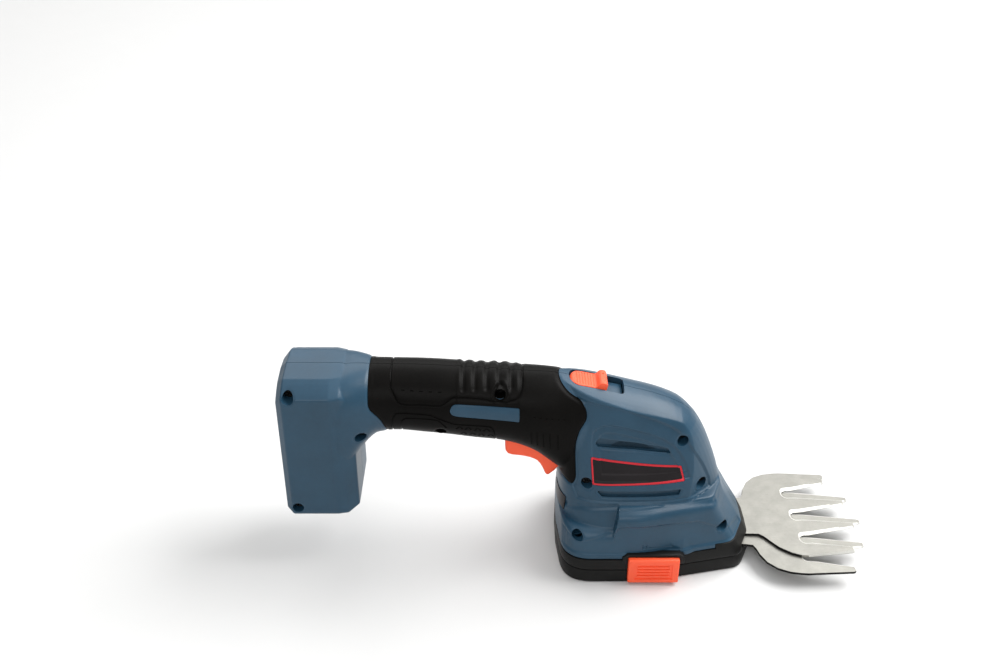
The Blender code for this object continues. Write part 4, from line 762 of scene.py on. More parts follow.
zones = {
    "underCrease": [(19, 50), (-58, 50), (-60.6, 55.6), (-58.6, 61), (-59.3, 74), (-59.1, 84), (-57.2, 91),
                    (-53.4, 96.5), (-53.6, 101), (-54.6, 105)],
    "underPanel": [(4.6, 61.5), (-49.2, 61.5)],
    "shelf": [(-64.5, 41), (-56.1, 45.8), (-41.2, 47.8), (-28.9, 48.8), (-16.3, 48.8), (1.8, 48.3),
              (15.6, 47.3), (22.6, 46.2)],
    "underShelf": [(-72, 34), (-63.9, 32.8), (-56.4, 28.6), (-41, 33.9), (-37.9, 34.5), (-34.4, 39.5),
                   (-29.1, 39.8), (-7.3, 39), (11.3, 37.3), (30.8, 27.5), (46, 20.4), (-72, 20.4)],
}

panelLine = softLine(lines["panel"][:-2]) + zones["underPanel"]
bodyMarks = [
    {"line": outlines["grip"], "closed": True, "height": -0.5, "width": 0.9, "facing": 0},
    {"line": [(-124.5, 108), (-124.5, 135), (-91, 135), (-91, 108)], "area": True, "height": 0.45,
     "width": 2.0, "facing": 0},
    {"line": circleAround(-101, 113, 4.6), "closed": True, "height": 0.35, "width": 0.7},
    {"line": softLine(lines["crease"])[2:] + zones["underCrease"], "area": True, "height": -0.95,
     "width": 1.2},
    {"line": panelLine, "area": True, "height": -0.8, "width": 1.2},
    {"line": grown(panelLine, -4.3), "area": True, "height": -0.55, "width": 1.0},
    {"line": zones["shelf"], "height": -0.8, "width": 1.7},
    {"line": zones["underShelf"], "area": True, "height": -0.9, "width": 2.0},
    {"line": grown(outlines["upperVent"], 0.6), "area": True, "height": -0.3, "width": 1.2},
    {"line": grown(outlines["lowerVent"], 0.6), "area": True, "height": -0.3, "width": 1.2},
    {"line": softLine(lines["rearRing"][1:-1]), "height": -0.3, "width": 1.0, "facing": 0},
]
for place in ribPlaces:
    bodyMarks.append({"line": [(place, 135), (place, 115.6)], "height": -1.05, "width": 1.45, "facing": 0})
for screwX, screwZ, half in screwSizes.values():
    bodyMarks.append({"line": circleAround(screwX, screwZ, 3.4), "closed": True, "height": -0.25,
                      "width": 0.5})

# the body's outer form: rough solids joined, made dense, smoothed, then sculpted
form = boxForm()
for part in (handleForm(), headForm(), skirtForm()):
    boolean(form, part, "UNION")
form.name = "bodyForm"
applyModifier(form, "REMESH", mode="VOXEL", voxel_size=voxel, adaptivity=0)
applyModifier(form, "SMOOTH", factor=0.5, iterations=10)
sculpt(form, bodyMarks)
rightForm = rightHalf(form, "rightForm")
report(f"outer form ready, {len(rightForm.data.polygons)} faces on a side")
tree = treeOf(form)


def cavityForm():
    # the hollow inside, less the ribs, bosses and floor that stand in it
    s = bodySizes
    floor = s["cavityFloor"]
    zone = prism("gripZone", grown(outlines["grip"], 2.3), -60, 60)
    thin = boolean(headForm(s["headWall"], floor, 40, 6.0), skirtForm(s["skirtCavity"], floor, 4), "UNION")
    boolean(thin, zone)
    hollow = boxForm(s["wall"])
    for part in (handleForm(s["core"], 32, 8), headForm(s["headWall"], floor, 40, 6.0), thin):
        boolean(hollow, part, "UNION")
    stays = [rod("boss", (x, -half - 6, z), (x, half + 6, z), s["bossRadius"], 20)
             for x, z, half in screwSizes.values()]
    stays += [block("motorRib", (-31.8, -40, z), (-19.8, 40, z + 1.8)) for z in (58, 73)]
    stays += [rod("pinBoss", (-66.5, side * 8.6, 70), (-66.5, side * 30, 70), 3.6, 20) for side in (-1, 1)]
    stays += [lockBlock((-13, -30, -9.3), (24, 30, -7.3))]
    for part in stays:
        boolean(hollow, part)
    room = [rod("motorRoom", (-25.8, 0, 50), (-25.8, 0, 80), 14.2, 40),
            lockBlock((-14, -3, -30), (23, 3, -7))]
    for part in room:
        boolean(hollow, part, "UNION")
    return hollow


def lockSlot():
    # the slider's slot with a round rear end, and the rooms under it for its plate, leg and shield
    s = lockSizes
    rear, front = s["rear"] - 0.8, s["front"] + s["travel"] + 0.4
    half, nose = s["half"] + s["slotGap"], s["noseRound"]
    plan = [(rear, 0)]
    plan += [(rear + nose - nose * math.cos(a), -half * math.sin(a))
             for a in np.linspace(0.3, math.pi / 2, 6)]
    plan += [(front - 2, -half), (front - 0.6, -half + 0.6), (front, -half + 2)]
    plan += [(x, -y) for x, y in reversed(plan[1:])]
    slot = moved(prism("lockSlot", plan, -12, 18, "Z"), lockFrame)
    top = 0.3 - s["plateDepth"]
    for room in (lockBlock((-13.6, -10.6, top - 2.2), (23.4, 10.6, top)),
                 lockBlock((-14, -3, -30), (23, 3, top)), lockBlock((9.6, -7.4, top - 2), (31.4, 7.4, -3.3))):
        boolean(slot, room, "UNION")
    return slot


latchSizes = {
    "x": (-28.4, 0.6), "z": (1.9, 18.8), "proud": 2.7, "depth": 5.3, "soften": 1.0, "travel": 3, "gap": 0.8,
    "panel": (-24.6, -3.2, 4.8, 15.6), "panelDepth": 0.55, "bars": [6.9, 9.1, 11.3, 13.5], "bar": 0.5,
    "frame": [(-31.6, 14.5), (-31.6, 19.0), (-28.8, 20.9), (1.0, 20.9), (3.6, 19.0), (3.6, 14.5)],
}


def latchDepth():
    # the y that a pressed latch reaches
    s = latchSizes
    return min(footHalfAt(s["x"][1]) - 2.6, bodySizes["footHalf"] - 5.6) - s["travel"] - s["gap"]


def footHalfAt(x):
    half = footHalfOutline(12)
    for (xa, ya), (xb, yb) in zip(half, half[1:]):
        if xa <= x <= xb and xb > xa:
            return ya + (x - xa) * (yb - ya) / (xb - xa)
    return half[-1][1]


def latchBand(x0, x1, z0, z1, outer, inner, name="band"):
    # a block that follows the foot's outline
    xs = np.linspace(x0, x1, 25)
    plan = [(float(x), -(footHalfAt(x) + outer)) for x in xs]
    plan += [(float(x), -(footHalfAt(x) + inner)) for x in reversed(xs)]
    return prism(name, plan, z0, z1, "Z")


def openings(piece):
    # what moves or is held gets its room in the shell
    for tool in (prism("triggerRoom", outlines["trigger"], -8.6, 8.6),
                 rod("pinRoom", (-66.5, -12.3, 70), (-66.5, 12.3, 70), 1.8, 24), lockSlot(),
                 block("noseRoom", (22.2, -60, 15.7), (60, 60, 19.9)),
                 rod("shaftRoom", (6, 0, 15.7), (6, 0, 20.7), 3.4, 32),
                 rod("socketHole", (-223, 0, 57), (-217, 0, 57), 2.2, 32)):
        boolean(piece, tool)
    boolean(piece, block("latchRoom", (-28.7, -80, 1.6), (0.9, -latchDepth(), 19.2)))
    return boolean(piece, prism("frameRoom", grown(latchSizes["frame"], 0.3), -80, -37.5))


cavity = cavityForm()
report("cavity ready")

# the blue shell: the form without the sleeve's bed, hollowed, with its openings
sleeveBed = prism("sleeveBed", grown(outlines["grip"], 0.3), -60, 60)
bed = bodySizes["sleeveBed"]
boolean(sleeveBed, boolean(handleForm(bed, 64, 3), headForm(bed, None, 80, 4), "UNION"))
boolean(sleeveBed, prism("windowBlock", grown(outlines["window"], -0.3), -60, 60))
shell = duplicate(rightForm, "shellRight")
boolean(shell, sleeveBed, keepTool=True)
boolean(shell, cavity, keepTool=True)
openings(shell)
arrowLines = [[(-21, 24.9), (-2.4, 22.6)], [(-4.6, 24.4), (-2.2, 22.6), (-4.9, 21.2)],
              [(-20.6, 26.4), (-17.8, 23.2)], [(-20.9, 23.4), (-17.6, 26.0)]]
grooves(shell, [sidePath(tree, line) for line in arrowLines], 0.32)

for name in ("upperVent", "lowerVent"):
    # each vent is a pocket whose floor follows the wall
    spots = densify(outlines[name], 1.2, True)
    levels = [[onSide(tree, x, z, deeper) for x, z in spots] for deeper in (bodySizes["vent"], -2)]
    boolean(shell, loft("pocket", levels))
shellLeft = mirroredTwin(shell, "shellLeft")

screwLook = {"head": 2.9, "shank": 1.4, "crown": 0.7, "cross": (0.42, 1.75), "crossDepth": 1.3, "turn": 30,
             "recess": 3.2, "bore": 1.7, "lining": 0.2}
for x, z, half in screwSizes.values():
    seat = half - 5
    recess = rod("recess", (x, -half - 20, z), (x, -seat + 1.2, z), screwLook["recess"], 40)
    boolean(recess, rod("bore", (x, -half, z), (x, 0.55 * seat, z), screwLook["bore"], 20), "UNION")
    boolean(shell, recess)
labelPocket = prism("labelPocket", grown(outlines["nameplate"], 0.25), -60, -5)
boolean(labelPocket, headForm(bodySizes["plateBed"], None, 120, 3))
boolean(shell, labelPocket)
report("shell cut")

# the black sleeve over the handle
sleeve = duplicate(rightForm, "sleeveRight")
boolean(sleeve, prism("sleeveZone", outlines["grip"], -60, 60), "INTERSECT")
skin = bodySizes["skin"]
boolean(sleeve, boolean(handleForm(skin, 96, 2), headForm(skin, None, 120, 3), "UNION"))
for tool in (prism("windowHole", outlines["window"], -60, 60),
             prism("triggerRoom", outlines["trigger"], -8.6, 8.6), lockSlot()):
    boolean(sleeve, tool)
ring = lines["rearRing"]
ringPath = (sectionPath(tree, -160.4, 100, 116.5)
            + sidePath(tree, softLine([(-160.2, 116.4)] + ring[2:-2] + [(-88.7, 116.2)]))
            + sectionPath(tree, -88.6, 100, 116.5)[::-1])
sleevePaths = [ringPath, sidePath(tree, softLine(lines["contour2"])),
               sidePath(tree, softLine(lines["contour3"]))]
grooves(sleeve, sleevePaths, 0.55)
gripMarks = [
    {"radius": 0.48, "shape": [(-1.7, -1.3), (-0.5, 0.7), (0.5, 0.7), (1.7, -1.3)],
     "places": [(-123.2, 93.6), (-118.4, 93.2), (-113.3, 92.7), (-108.3, 92.3), (-121.1, 88.2),
                (-116.1, 87.9), (-111.3, 87.5), (-106.2, 87.1)]},
    {"radius": 0.33, "shape": [(-0.9, 0), (0.9, -0.1)],
     "places": [(-153.6, 115.9), (-148.7, 115.6), (-143.8, 115.3), (-138.8, 115), (-133.7, 114.7)]},
    {"radius": 0.33, "shape": [(-0.7, 0), (0.7, -0.1)],
     "places": [(-82.2, 101.2), (-79, 100.8), (-75.7, 100.3), (-72.4, 99.9), (-69.1, 99.4), (-65.7, 99)]},
]
gripLines = [(-84, 91.6, 82), (-80.8, 91.4, 81.6), (-77.3, 91, 81), (-73.8, 90.6, 80.4), (-69.4, 90, 79.8)]
for marks in gripMarks:
    runs = [[(x + dx, z + dz) for dx, dz in marks["shape"]] for x, z in marks["places"]]
    grooves(sleeve, [sidePath(tree, run) for run in runs], marks["radius"])
grooves(sleeve, [sidePath(tree, [(x, high), (x + 0.5, low)]) for x, high, low in gripLines], 0.33)
sleeveLeft = mirroredTwin(sleeve, "sleeveLeft")
for name in ("grip_screw_front", "grip_screw_rear"):
    # a thin black wall lines the recess down to the screw's head, painted shade over the blue boss wall
    # inside the hole
    x, z, half = screwSizes[name]
    outside = screwLook["recess"] - 0.02
    boolean(sleeve, rod("recess", (x, -60, z), (x, 0, z), outside - 0.01, 40))
    lining = rod("lining", (x, -half - 0.5, z), (x, 4.9 - half, z), outside, 40)
    boolean(lining, rod("bore", (x, -60, z), (x, 0, z), outside - screwLook["lining"], 40))
    boolean(sleeve, lining, "UNION")
report("sleeve cut")

# the label: a dark field in a red border, left bare
plate = duplicate(rightForm, "plate")
boolean(plate, prism("plateZone", outlines["nameplate"], -60, -5), "INTERSECT")
boolean(plate, headForm(bodySizes["plateBack"], None, 120, 3))
fieldZone = prism("fieldZone", outlines["nameField"], -60, -5)
field = boolean(duplicate(plate, "labelField"), fieldZone, "INTERSECT")
applyModifier(field, "DISPLACE", strength=0.06, mid_level=0)
report("label cut")

rearLabel = boolean(headForm(-0.35, None, 160, 2), headForm(-0.02, None, 160, 2))
rearOutline = roundCorners([(-75, 36.9), (-75, 46), (-60, 46), (-60, 36.9)], 0.3)
boolean(rearLabel, prism("rearZone", rearOutline, -21, -3), "INTERSECT")
rearLabel.name = "rearLabel"

for whole, node in ((shell, "housing_right"), (shellLeft, "housing_left")):
    # each half is shown as a head and a box piece
    label = node.split("_")[1].capitalize()
    split = -62
    rearPart = boolean(duplicate(whole, "rear"), block("front", (split, -90, -10), (90, 90, 150)))
    boolean(whole, block("back", (-300, -90, -10), (split, 90, 150)))
    handOver(whole, "shellHead" + label, "housing", "blue_plastic", node)
    handOver(rearPart, "shellBox" + label, "housing", "blue_plastic", node)
handOver(sleeve, "sleeveRight", "housing", "grip_rubber", "grip_right")
handOver(sleeveLeft, "sleeveLeft", "housing", "grip_rubber", "grip_left")
handOver(plate, "labelBorder", "housing", "red_plastic", "nameplate", looks=["label_red"])
handOver(field, "labelField", "housing", "label_dark", "nameplate")
handOver(rearLabel, "rearLabel", "housing", "label_dark", "rear_label")
report("housing handed over")


def makeScrew(start, way, shankLength, headLength=2.0):
    # a pan head with a cross recess on a plain shank, start is the head's outer face
    s = screwLook
    start, way = Vector(start), Vector(way)
    head = rod("screw", start + way * s["crown"], start + way * headLength, s["head"], 40)
    boolean(head, rod("crown", start, start + way * (s["crown"] + 0.02), s["head"] - 0.9, 40, s["head"]),
            "UNION")
    shank = rod("shank", start + way * (headLength - 0.4), start + way * (headLength + shankLength),
                s["shank"], 24)
    boolean(head, shank, "UNION")
    place = Matrix.Translation(start) @ way.to_track_quat("Z", "Y").to_matrix().to_4x4()
    place = place @ Matrix.Rotation(math.radians(s["turn"]), 4, "Z")
    thin, wide = s["cross"]
    for a, b in ((thin, wide), (wide, thin)):
        boolean(head, moved(block("slot", (-a, -b, -1), (a, b, s["crossDepth"])), place))
    return head


for name, (x, z, half) in screwSizes.items():
    seat = half - 5
    piece = makeScrew((x, -seat - 0.9, z), (0, 1, 0), seat + 0.9 + 0.5 * seat - 2)
    handOver(piece, name.replace("_s", "S") + "Look", "housing", "dark_steel", name)
footScrews = [(-52, -22), (-52, 22), (21, -27.4), (21, 27.4)]
for number, (x, y) in enumerate(footScrews, 1):
    piece = makeScrew((x, y, 1.2), (0, 0, 1), 11)
    handOver(piece, f"footScrew{number}", "cassette", "dark_steel", f"cassette_screw_{number}")
report("screws")


triggerSizes = {
    "pivot": (-66.5, 70), "half": 8, "top": 81.6, "rear": -98.2, "soften": 1.5,
    "outline": [(-98.2, 71), (-97.9, 68.2), (-96.6, 66.3), (-94.2, 65.4), (-90.5, 65.0), (-86.8, 64.3),
                (-84, 63.5), (-81.6, 62.4), (-79.8, 61.1), (-78.3, 59.2), (-77.1, 57.0), (-76.1, 54.6),
                (-75.3, 52.3), (-74.4, 51.1), (-73.0, 51.1), (-69.7, 54.2), (-67.8, 56.8), (-66.2, 58.8),
                (-64.2, 61.0), (-62.6, 62.8), (-62.4, 71), (-64, 73.6), (-70, 75), (-76, 78), (-84, 81.6),
                (-98.2, 81.6)],
}


def makeTrigger():
    s = triggerSizes
    x, z = s["pivot"]
    body = softenEdges(prism("trigger", s["outline"], -s["half"], s["half"]), s["soften"], 5, 60)
    parts = [block("tail", (s["rear"] - 4, -4, s["top"] - 1.3), (s["rear"] + 2, 4, s["top"])),
             block("post", (x - 3, -2.4, z + 1), (x + 1, 2.4, z + 15))]
    for part in parts:
        boolean(body, part, "UNION")
    return boolean(body, rod("pinHole", (x, -20, z), (x, 20, z), 1.86, 32))


handOver(makeTrigger(), "triggerLook", "trigger", "orange_plastic", "trigger", 40)


sliderSizes = {
    "profile": [(-9.0, -5.4), (-10.3, -3.4), (-10.2, -2.3), (-9.0, -1.4), (-7.2, -1.05), (3.4, -1.1),
                (4.4, -0.8), (5.1, 0.3), (5.7, 1.5), (6.5, 2.25), (7.8, 2.55), (9.2, 2.35), (10.1, 1.6),
                (10.6, 0.4), (10.6, -5.4)],
    "ribs": [-6.6, -5.0, -3.4, -1.8, -0.2, 1.4, 3.0], "soften": 0.55,
}


def makeSlider():
    s = sliderSizes
    half, rear, front, nose = (lockSizes[key] for key in ("half", "rear", "front", "noseRound"))
    body = prism("slider", s["profile"], -half, half)
    plan = [(rear + nose - nose * math.cos(a), -half * math.sin(a)) for a in np.linspace(0, math.pi / 2, 9)]
    plan += [(3.0, -half), (front - 0.9, -half), (front, -half + 0.9)]
    plan += [(x, -y) for x, y in reversed(plan[1:])]
    boolean(body, prism("plan", plan, -20, 20, "Z"), "INTERSECT")
    softenEdges(body, s["soften"], 3, 35)
    for x in s["ribs"]:
        boolean(body, wire("rib", [(x, -half + 1.2, -1.0), (x, half - 1.2, -1.0)], 0.36))
    boolean(body, rod("scoop", (7.9, -3.2, 5.2), (7.9, 3.2, 5.2), 3.0, 40))
    bottom = -lockSizes["plateDepth"] - lockSizes["plate"]
    for low, high in (((-13, -10, bottom), (13, 10, -lockSizes["plateDepth"])),
                      ((10.5, -2.6, bottom - 3.4), (13, 2.6, bottom + 0.5)),
                      ((-13, -2.4, -25), (-10.6, 2.4, bottom + 0.5))):
        boolean(body, block("under", low, high), "UNION")
    return moved(body, lockFrame)


handOver(makeSlider(), "sliderLook", "lock_off", "orange_plastic", "lock_off_slider", 38)
shield = softenEdges(block("shield", (9.9, -5.9, -5.2), (20.2, 5.9, -4.3)), 0.2, 2, 60)
handOver(moved(shield, lockFrame), "slotShield", "lock_off", "blue_plastic")
report("controls")

coilSizes = {"radius": 1.9, "wire": 0.42}
springSizes = [
    ("trigger_spring", "housing", "trigger_pull", (-99.6, 0, 81.9), (-99.6, 0, 89.2), 4, 0.4),
    ("lock_spring", "housing", "lock_off_slide", lockFrame @ Vector((13.3, 0, -7.9)),
     lockFrame @ Vector((29.7, 0, -7.9)), 6, 0.4),
    ("latch_spring_right", "cassette", "latch_right_press", (-13.9, -35.9, 6), (-13.9, -31.5, 6), 3, 0.28),
    ("latch_spring_left", "cassette", "latch_left_press", (-13.9, 35.9, 6), (-13.9, 31.5, 6), 3, 0.28),
]
for name, body, joint, free, fixed, turns, shortest in springSizes:
    # a coil from its free end to the end that stays
    free, fixed = Vector(free), Vector(fixed)
    way = fixed - free
    turn = way.to_track_quat("Z", "Y").to_matrix()
    radius, whole = coilSizes["radius"], 2 * math.pi * turns
    path = [free + turn @ Vector((radius * math.cos(a), radius * math.sin(a),
                                  0.5 + (way.length - 1) * a / whole))
            for a in np.linspace(0, whole, turns * 20)]
    coil = wire(name + "Coil", path, coilSizes["wire"])
    handOver(coil, name.replace("_s", "S") + "Look", body, "steel", name)
    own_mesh(coil)
report("springs")


footSizes = {
    "baseTop": 9.2, "top": 16.7, "nose": 19.6, "noseStart": 22.5, "wall": 2.2, "bladeLow": 8.6,
    "thickness": 1.4, "pivot": 30, "crank": 6, "slitHalf": 22.6, "frameFace": 42.0, "post": 4,
    "recess": 3.2, "bore": 1.7, "springX": -13.9, "springStop": 30.0,
}
overBlades = footSizes["bladeLow"] + 2 * footSizes["thickness"] + 0.6


def bladeSlit():
    s = footSizes
    return block("slit", (29, -s["slitHalf"], s["bladeLow"] - 0.3), (70, s["slitHalf"], overBlades))


def latchRooms(piece):
    for side in (-1, 1):
        low, high = sorted((side * 80, side * latchDepth()))
        boolean(piece, block("latchRoom", (-28.7, low, 1.6), (0.9, high, 19.2)))


def makeFootBase():
    s = footSizes
    top, pivot, middle = s["baseTop"], s["pivot"], s["springX"]
    base = footSolid("footBase", [(0, 1.1), (0.2, 0.62), (0.55, 0.25), (1.1, 0), (8.75, 0), (9.05, 0.14),
                                  (top, 0.45)])
    boolean(base, footSolid("pocket", [(2, s["wall"]), (40, s["wall"])], 4))
    seat = block("seat", (s["crank"], -22, 1), (60, 22, s["bladeLow"] - 0.3))
    posts = [rod("post", (x, y, 1), (x, y, top), s["post"], 32) for x, y in footScrews]
    posts += [block("stop", (middle - 4, y - 1.2, 1), (middle + 4, y + 1.2, top))
              for y in (-s["springStop"], s["springStop"])]
    for part in posts:
        boolean(seat, part, "UNION")
    boolean(seat, footSolid("within", [(1, s["wall"] / 2), (top, s["wall"] / 2)], 4), "INTERSECT")
    boolean(base, seat, "UNION")
    boolean(base, bladeSlit())
    latchRooms(base)
    tools = [rod("bolt", (pivot, 0, -1), (pivot, 0, 3.4), 5.3, 40),
             rod("bolt", (pivot, 0, 1), (pivot, 0, 31), 2.3, 32)]
    for x, y in footScrews:
        tools += [rod("recess", (x, y, -1), (x, y, 3.4), s["recess"], 32),
                  rod("bore", (x, y, 1), (x, y, 21), s["bore"], 24)]
    for tool in tools:
        boolean(base, tool)
    return base


def makeFootTop():
    s = footSizes
    low = s["baseTop"] + 0.3
    top = footSolid("footTop", [(low, 0.45), (low + 0.15, 0.14), (low + 0.45, 0), (12, 0), (s["nose"], 0)])
    boolean(top, block("above", (-90, -60, s["top"]), (s["noseStart"], 60, 60)))
    softenEdges(top, 0.35, 2, 60)
    ceiling = s["top"] - 2
    room = footSolid("room", [(low - 1, s["wall"]), (ceiling, s["wall"])], 4)
    for x, y in footScrews:
        boolean(room, rod("post", (x, y, 0), (x, y, 40), s["post"], 32))
    boolean(room, block("solid", (s["pivot"] + 4, -60, overBlades - 0.2), (90, 60, 60)))
    for tool in (bladeSlit(), rod("disc", (s["crank"], 0, low), (s["crank"], 0, low + 20), 7.8, 48),
                 rod("nutRoom", (s["pivot"], 0, low), (s["pivot"], 0, ceiling + 0.25), 5.2, 40)):
        boolean(room, tool, "UNION")
    boolean(top, room)
    frameRight = softenEdges(prism("frame", latchSizes["frame"], -s["frameFace"], -37.8), 0.35, 2, 50)
    for part in (frameRight, mirroredTwin(frameRight, "frameLeft")):
        boolean(top, part, "UNION")
    latchRooms(top)
    for x, y in footScrews:
        boolean(top, rod("bore", (x, y, low - 1), (x, y, low + 5.6), s["bore"], 24))
    return top


handOver(makeFootBase(), "footBase", "cassette", "black_plastic", "cassette_base", 35)
handOver(makeFootTop(), "footTop", "cassette", "black_plastic", "cassette_top", 35)
report("foot")


def makeLatch():
    s = latchSizes
    (x0, x1), (z0, z1) = s["x"], s["z"]
    face = -bodySizes["footHalf"] - s["proud"]
    body = softenEdges(block("latch", (x0, face, z0), (x1, face + 20, z1)), s["soften"], 4, 50)
    boolean(body, latchBand(x0 - 2, x1 + 2, z0 - 2, z1 + 2, s["proud"] - s["depth"], -40))
    a, b, low, high = s["panel"]
    panel = block("panel", (a, face - 1, low), (b, face + s["panelDepth"], high))
    for z in s["bars"]:
        boolean(panel, block("bar", (a + 1.6, face - 2, z - s["bar"]), (b - 1.6, face + 2, z + s["bar"])))
    boolean(body, panel)
    boolean(body, latchBand(x0 - 2.4, x1 + 2.4, 3, 8.4, -2.5, -4.1, "ears"), "UNION")
    middle = (x0 + x1) / 2
    return boolean(body, block("pad", (middle - 6, -39.3, 3.4), (middle + 6, -36.2, 8.6)), "UNION")


latch = makeLatch()
latchLeft = mirroredTwin(latch, "latchLeftLook")
handOver(latch, "latchRightLook", "latch_right", "orange_plastic", "latch_right", 36)
handOver(latchLeft, "latchLeftLook", "latch_left", "orange_plastic", "latch_left", 36)
report("latches")


bladeSizes = {
    "pitch": 20.4, "rootX": 76.8, "rootGap": 6.6, "tipHalf": 2.3, "tipArcX": 43, "lowerTip": 71.6,
    "upperTip": 67.0, "swing": 3.9, "bevel": 1.9, "sheared": 0.12, "ground": 0.7, "edge": 0.4,
    "tipStep": 9.5, "tipDrop": 0.28, "hole": 2.3, "lowerZ": 8.6, "upperZ": 10.3,
    "lowerShoulder": [(12, 13), (24, 16.5), (38, 20.2), (46.6, 21.6), (48.0, 24.6), (49.2, 29.4),
                      (52.4, 36.0), (57.6, 41.0), (64, 43.9), (70.0, 45.0), (74.5, 45.3)],
    "upperShoulder": [(20, 9.5), (30, 12.5), (42, 14.4), (50.2, 15.2), (52.6, 17.4), (55.6, 22.0),
                      (59.2, 27.2), (65.4, 32.4), (70.5, 34.9), (74.5, 35.6)],
}


def combOutline(centres, shoulder, tipRadius, outerShare):
    # (x, y, share of the ground bevel) round a comb of tapering teeth
    s = bladeSizes
    root, gap = s["rootX"], s["rootGap"]
    halfRoot = (s["pitch"] - gap) / 2
    outline = [(x, -y, s["sheared"]) for x, y in shoulder]
    for i, middle in enumerate(centres):
        tip = s["tipArcX"] + math.sqrt(tipRadius ** 2 - middle ** 2)
        first, last = i == 0, i == len(centres) - 1
        low = middle - s["tipHalf"] - (0.9 if first else 0)
        high = middle + s["tipHalf"] + (0.9 if last else 0)
        near, far = outerShare if first else s["ground"], outerShare if last else s["ground"]
        outline += [(tip - 1.6, low, near), (tip - 0.5, low + 0.5, 0.7 * near), (tip, low + 1.2, 0.5 * near),
                    (tip, high - 1.2, 0.5 * far), (tip - 0.5, high - 0.5, 0.7 * far), (tip - 1.6, high, far)]
        if not last:
            # a rounded gap to the next tooth
            away, bend = middle + s["pitch"] / 2, gap / 2
            outline.append((root + 3.2, middle + halfRoot, 1))
            outline += [(root - bend * 0.9 * math.cos(a), away - bend * math.sin(a),
                         0.5 + 0.5 * abs(math.sin(a)))
                        for a in np.radians([75, 55, 35, 15, -15, -35, -55, -75])]
            outline.append((root + 3.2, away + bend, 1))
    return outline + [(x, y, s["sheared"]) for x, y in reversed(shoulder)]


def makeBlade(name, centres, shoulder, tipRadius, low, swing=0):
    s = bladeSizes
    rows = combOutline(centres, shoulder, tipRadius, s["ground"] if swing else s["sheared"])
    plan = [row[:2] for row in rows]
    thick = footSizes["thickness"]
    inner = grown(plan, [-s["bevel"] * row[2] for row in rows])
    slight = grown(plan, -0.1)
    rings = [[(x, y, low) for x, y in slight], [(x, y, low + 0.12) for x, y in plan],
             [(x, y, low + s["edge"]) for x, y in plan], [(x, y, low + thick) for x, y in inner]]
    blade = loft(name, rings)
    pivot = footSizes["pivot"]
    boolean(blade, rod("hole", (pivot, 0, 0), (pivot, 0, 30), s["hole"], 40))
    # the teeth are a little thinner at their tips
    sweep = np.radians(np.arange(-27, 61, 3))
    arc = [(s["tipArcX"] + radius * math.cos(a), radius * math.sin(a))
           for radius, angles in ((tipRadius - s["tipStep"], sweep),
                                  (tipRadius + 3, sweep[::-1])) for a in angles]
    boolean(blade, prism("tipStep", arc, low + thick - s["tipDrop"], low + 9, "Z"))
    if swing:
        place = Matrix.Translation((pivot, 0, 0))
        moved(blade, place @ Matrix.Rotation(math.radians(swing), 4, "Z") @ place.inverted())
    return blade


def groundFaces(blade):
    # the slanted ground faces are brighter; the sheared ones round the shoulders are near black, painted
    # shade for the shadowed gap between the blades
    for face in blade.data.polygons:
        if 0.25 < face.normal.z < 0.985:
            face.material_index = 1
        elif abs(face.normal.z) < 0.3 and (face.center.x < 74.4 or abs(face.center.y) > 42.5):
            face.material_index = 2
    return blade


pitch = bladeSizes["pitch"]
lower = makeBlade("lowerBladeLook", [pitch * (i - 2) for i in range(5)], bladeSizes["lowerShoulder"],
                  bladeSizes["lowerTip"], bladeSizes["lowerZ"])
upper = makeBlade("upperBladeLook", [pitch * (i - 1.5) for i in range(4)], bladeSizes["upperShoulder"],
                  bladeSizes["upperTip"], bladeSizes["upperZ"], bladeSizes["swing"])
steels = ["blade_steel", "ground_edge", "sheared_edge_painted_shade"]
handOver(groundFaces(lower), "lowerBladeLook", "cassette", "blade_steel", "lower_blade", 12, steels)
handOver(groundFaces(upper), "upperBladeLook", "upper_blade", "blade_steel", "upper_blade", 12, steels)
report("blades")

for tool in (form, rightForm, cavity, sleeveBed):
    bpy.data.objects.remove(tool)

# every CAD node that is still shown gets the finish of its slot
for row in frame["record"]["subparts"]:
    node = frame["nodes"][row["node"]]
    if not node.hide_render:
        for holder in [node] + list(node.children_recursive):
            if holder.type == "MESH":
                holder.data.materials.clear()
                holder.data.materials.append(finishes[row["material_slot"]])
report("inner pieces finished")

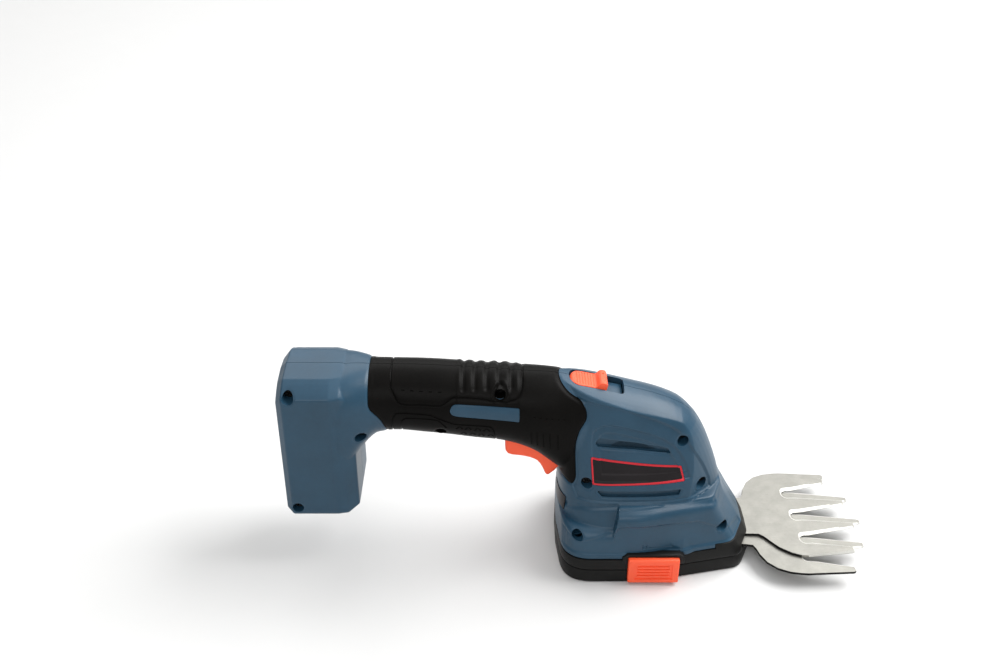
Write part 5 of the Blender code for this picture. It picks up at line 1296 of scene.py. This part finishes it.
studio = {
    "floorTone": (0.66, 0.66, 0.655), "backdrop": (1.0, 1.0, 1.0), "fill": 0.32,
    # each lamp: place, target, size and power
    "skyLight": ((-0.1, 0.5, 2.6), (-0.1, 0.2, 0), (4.4, 4.0), 44.0),
    "nearLight": ((0.78, 0.28, 1.08), (-0.03, 0, 0.08), (1.0, 0.9), 24.0),
    "backLight": ((-0.1, 1.95, 1.5), (-0.08, 0, 0.08), (3.0, 1.2), 26.0),
    "frontLight": ((-0.3, -1.7, 1.35), (-0.08, 0, 0.06), (1.7, 1.0), 16.0),
}
bpy.ops.mesh.primitive_plane_add(size=12, location=(0, 0, 0))
floor = bpy.context.active_object
floor.name = "floor"
floor.data.materials.append(finish("floorPaper", moulded(studio["floorTone"], 0.9, grain=900,
                                                         grainDepth=0.00001, mottle=0.006)))

world = bpy.data.worlds.new("studio")
bpy.context.scene.world = world
world.use_nodes = True
tree = world.node_tree
background = tree.nodes["Background"]
sight = Flow(tree, None)
rays = sight.make("ShaderNodeLightPath", output="Is Camera Ray")
lightPath = rays.socket.node
seen = rays.sum("MAXIMUM", rays, Flow(tree, lightPath.outputs["Is Transmission Ray"]))
tree.links.new(seen.blend(tone((studio["fill"],) * 3), tone(studio["backdrop"])).socket,
               background.inputs["Color"])


def softbox(name, place, target, size, power):
    lamp = bpy.data.lights.new(name, "AREA")
    lamp.shape = "RECTANGLE"
    lamp.size, lamp.size_y = size
    lamp.energy = power
    holder = bpy.data.objects.new(name, lamp)
    holder.location = place
    holder.rotation_euler = (Vector(target) - Vector(place)).to_track_quat("-Z", "Y").to_euler()
    bpy.context.collection.objects.link(holder)


for name in ("skyLight", "nearLight", "backLight", "frontLight"):
    softbox(name, *studio[name])

view = {"place": (-0.10105, -0.5405, 0.480), "tilt": 58, "lens": 42.48, "sensor": 36}
camera = bpy.data.objects.new("camera", bpy.data.cameras.new("camera"))
camera.location = view["place"]
camera.rotation_euler = (math.radians(view["tilt"]), 0, 0)
camera.data.lens = view["lens"]
camera.data.sensor_width = view["sensor"]
bpy.context.collection.objects.link(camera)
bpy.context.scene.camera = camera
bpy.context.scene.view_settings.view_transform = "Standard"

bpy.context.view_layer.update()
report("scene ready")
